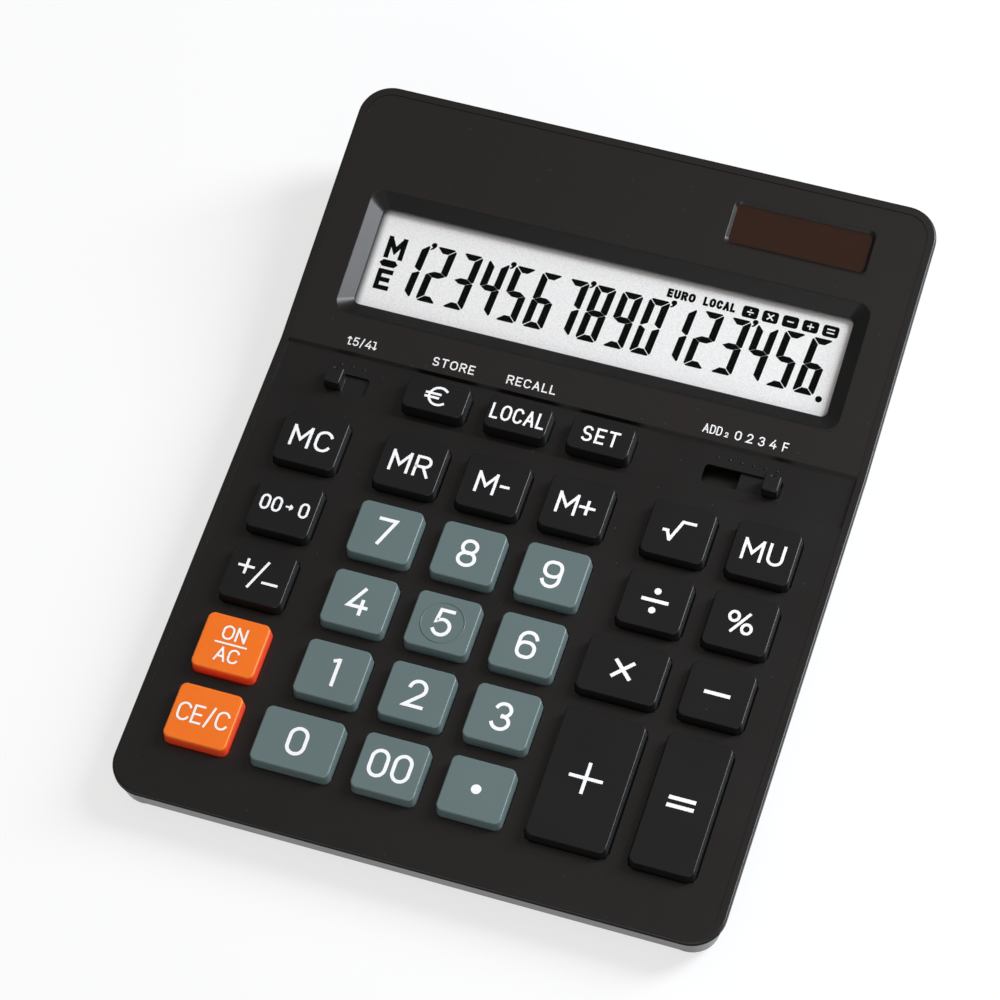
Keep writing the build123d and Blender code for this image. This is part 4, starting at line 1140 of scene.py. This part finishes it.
class CALCULATOR_OT_screws(bpy.types.Operator):
    """Rounds the heads of the screws under the case and cuts the crosses into them"""

    bl_idname = "calculator.screws"
    bl_label = "Dress the screws"

    def execute(self, context):
        sizes = context.scene.calculator_case
        for node in ("case_screws", "battery_cover_screw"):
            piece = dressed_copy(node, sizes.head_round)
            for corners in self.heads(piece):
                self.cross(piece, corners, sizes)
            stand_in(piece, "case", node)
        return {"FINISHED"}

    def heads(self, piece):
        """The corners of each screw, which stand in different quarters of the floor."""
        quarters = {}
        for corner in piece.data.vertices:
            quarters.setdefault((corner.co.x > 0, corner.co.y > 0), []).append(corner.co.copy())
        return quarters.values()

    def cross(self, piece, corners, sizes):
        """Cuts two crossing slots, narrower at their ends, into the head of one screw."""
        low, high = limits(corners)
        middle = Matrix.Translation(((low.x + high.x) / 2, (low.y + high.y) / 2, low.z))
        for turn in (0, 90):
            cutter = block("cross_slot", sizes.cross_length, sizes.cross_width, 2 * sizes.cross_depth)
            pick("FACE", level_with(sizes.cross_depth))
            bpy.ops.transform.resize(value=CROSS_TAPER)
            close()
            place(cutter, middle @ Matrix.Rotation(radians(turn), 4, "Z"))
            modify(piece, "BOOLEAN", object=cutter, operation="DIFFERENCE", solver="EXACT")
            bpy.data.objects.remove(cutter)
        smooth(piece)


class CALCULATOR_OT_inner_pieces(bpy.types.Operator):
    """Gives the pieces that are still as they were packed their finishes"""

    bl_idname = "calculator.inner_pieces"
    bl_label = "Finish the inner pieces"

    def execute(self, context):
        for node, piece in frame["nodes"].items():
            if piece.hide_render or node == "lcd_panel":
                continue
            material = bpy.data.materials.get(FINISH_PREFIX + SLOTS[node])
            if material is None:
                raise RuntimeError("no finish for " + node)
            for holder in piece.material_slots:
                holder.material = material
        return {"FINISHED"}


class CALCULATOR_OT_stage(bpy.types.Operator):
    """Sets up the floor, the light and the camera"""

    bl_idname = "calculator.stage"
    bl_label = "Set the stage"

    def execute(self, context):
        stage = context.scene.calculator_stage
        self.floor(stage)
        self.world(context.scene, stage)
        self.soft_box("key_light", stage.key_power, *KEY_BOX).color = stage.key_colour
        self.soft_box("fill_light", stage.fill_power, *FILL_BOX)
        camera = bpy.data.objects.new("camera", bpy.data.cameras.new("camera"))
        context.scene.collection.objects.link(camera)
        axes = Matrix((CAMERA_RIGHT, CAMERA_UP, CAMERA_BACK)).transposed().to_4x4()
        camera.matrix_world = Matrix.Translation(CAMERA_STAND) @ axes
        camera.data.lens = stage.lens
        camera.data.sensor_width = SENSOR_WIDTH
        camera.data.clip_end = FARTHEST
        context.scene.camera = camera
        context.scene.view_settings.view_transform = "Standard"
        return {"FINISHED"}

    def floor(self, stage):
        """A wide pale floor with a faint cloud in it, which the camera, gloss and glass see nearly white."""
        deselect()
        bpy.ops.mesh.primitive_plane_add(size=FLOOR_SIZE)
        piece = added("floor")
        made = Finish("floor", Roughness=0.9, Specular_IOR_Level=0.0)
        moulded = made.effect("Moulded grain", Grain_size=0.002, Cloud_size=0.3)
        made.give(Base_Color=made.blend(moulded["Cloud"], scaled(stage.floor_colour, 0.99), stage.floor_colour))
        rays = made.add("LightPath").outputs
        seen = rays["Is Camera Ray"]
        for ray in ("Is Glossy Ray", "Is Transmission Ray"):
            seen = made.reckon("MAXIMUM", seen, rays[ray])
        white = made.add("Emission").outputs["Emission"]
        share = made.ramp(seen, high=stage.floor_glow)
        mixed = made.add("MixShader", {"Fac": share, 1: made.shader.outputs["BSDF"], 2: white})
        made.feed(made.tree.nodes["Material Output"].inputs["Surface"], mixed.outputs["Shader"])
        piece.data.materials.append(made.material)

    def world(self, scene, stage):
        """Soft light from all round, stronger overhead than near the floor."""
        scene.world = bpy.data.worlds.new("studio")
        scene.world.use_nodes = True
        made = Nodes(scene.world.node_tree)
        share = made.ramp(made.axes("Generated")["Z"], OVERHEAD_FROM)
        light = made.blend(share, stage.level_light, stage.overhead)
        made.feed(made.tree.nodes["Background"].inputs["Color"], light)

    def soft_box(self, name, power, stand, width, height):
        """A soft rectangular light aimed at the calculator."""
        light = bpy.data.lights.new(name, "AREA")
        light.shape = "RECTANGLE"
        light.size, light.size_y = width, height
        light.energy = power
        lamp = bpy.data.objects.new(name, light)
        bpy.context.scene.collection.objects.link(lamp)
        lamp.location = stand
        lamp.rotation_euler = (LAMP_AIM - Vector(stand)).to_track_quat("-Z", "Y").to_euler()
        return light


SETTINGS = {
    "calculator_case": CaseSettings,
    "calculator_keys": KeySettings,
    "calculator_display": DisplaySettings,
    "calculator_finishes": FinishSettings,
    "calculator_stage": StageSettings,
}
OPERATORS = (
    CALCULATOR_OT_finishes,
    CALCULATOR_OT_case,
    CALCULATOR_OT_bezels,
    CALCULATOR_OT_keys,
    CALCULATOR_OT_key_legends,
    CALCULATOR_OT_switches,
    CALCULATOR_OT_display,
    CALCULATOR_OT_panel_legends,
    CALCULATOR_OT_screws,
    CALCULATOR_OT_inner_pieces,
    CALCULATOR_OT_stage,
)


class CALCULATOR_PT_panel(bpy.types.Panel):
    """Lists the steps that dress the calculator, and their settings"""

    bl_label = "Calculator"
    bl_idname = "CALCULATOR_PT_panel"
    bl_space_type = "VIEW_3D"
    bl_region_type = "UI"
    bl_category = "Calculator"

    def draw(self, context):
        for operator in OPERATORS:
            self.layout.operator(operator.bl_idname)
        for name, group in SETTINGS.items():
            box = self.layout.box()
            for setting in group.__annotations__:
                box.prop(getattr(context.scene, name), setting)


def register():
    """Registers the settings, the operators and the panel."""
    for name, group in SETTINGS.items():
        bpy.utils.register_class(group)
        setattr(bpy.types.Scene, name, bpy.props.PointerProperty(type=group))
    for operator in OPERATORS:
        bpy.utils.register_class(operator)
    bpy.utils.register_class(CALCULATOR_PT_panel)


def unregister():
    """Takes everything back out."""
    bpy.utils.unregister_class(CALCULATOR_PT_panel)
    for operator in reversed(OPERATORS):
        bpy.utils.unregister_class(operator)
    for name, group in reversed(SETTINGS.items()):
        delattr(bpy.types.Scene, name)
        bpy.utils.unregister_class(group)


def main():
    """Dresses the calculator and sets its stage."""
    register()
    bpy.ops.calculator.finishes()
    bpy.ops.calculator.case()
    bpy.ops.calculator.bezels()
    bpy.ops.calculator.keys()
    bpy.ops.calculator.key_legends()
    bpy.ops.calculator.switches()
    bpy.ops.calculator.display()
    bpy.ops.calculator.panel_legends()
    bpy.ops.calculator.screws()
    bpy.ops.calculator.inner_pieces()
    bpy.ops.calculator.stage()


if __name__ == "__main__":
    main()
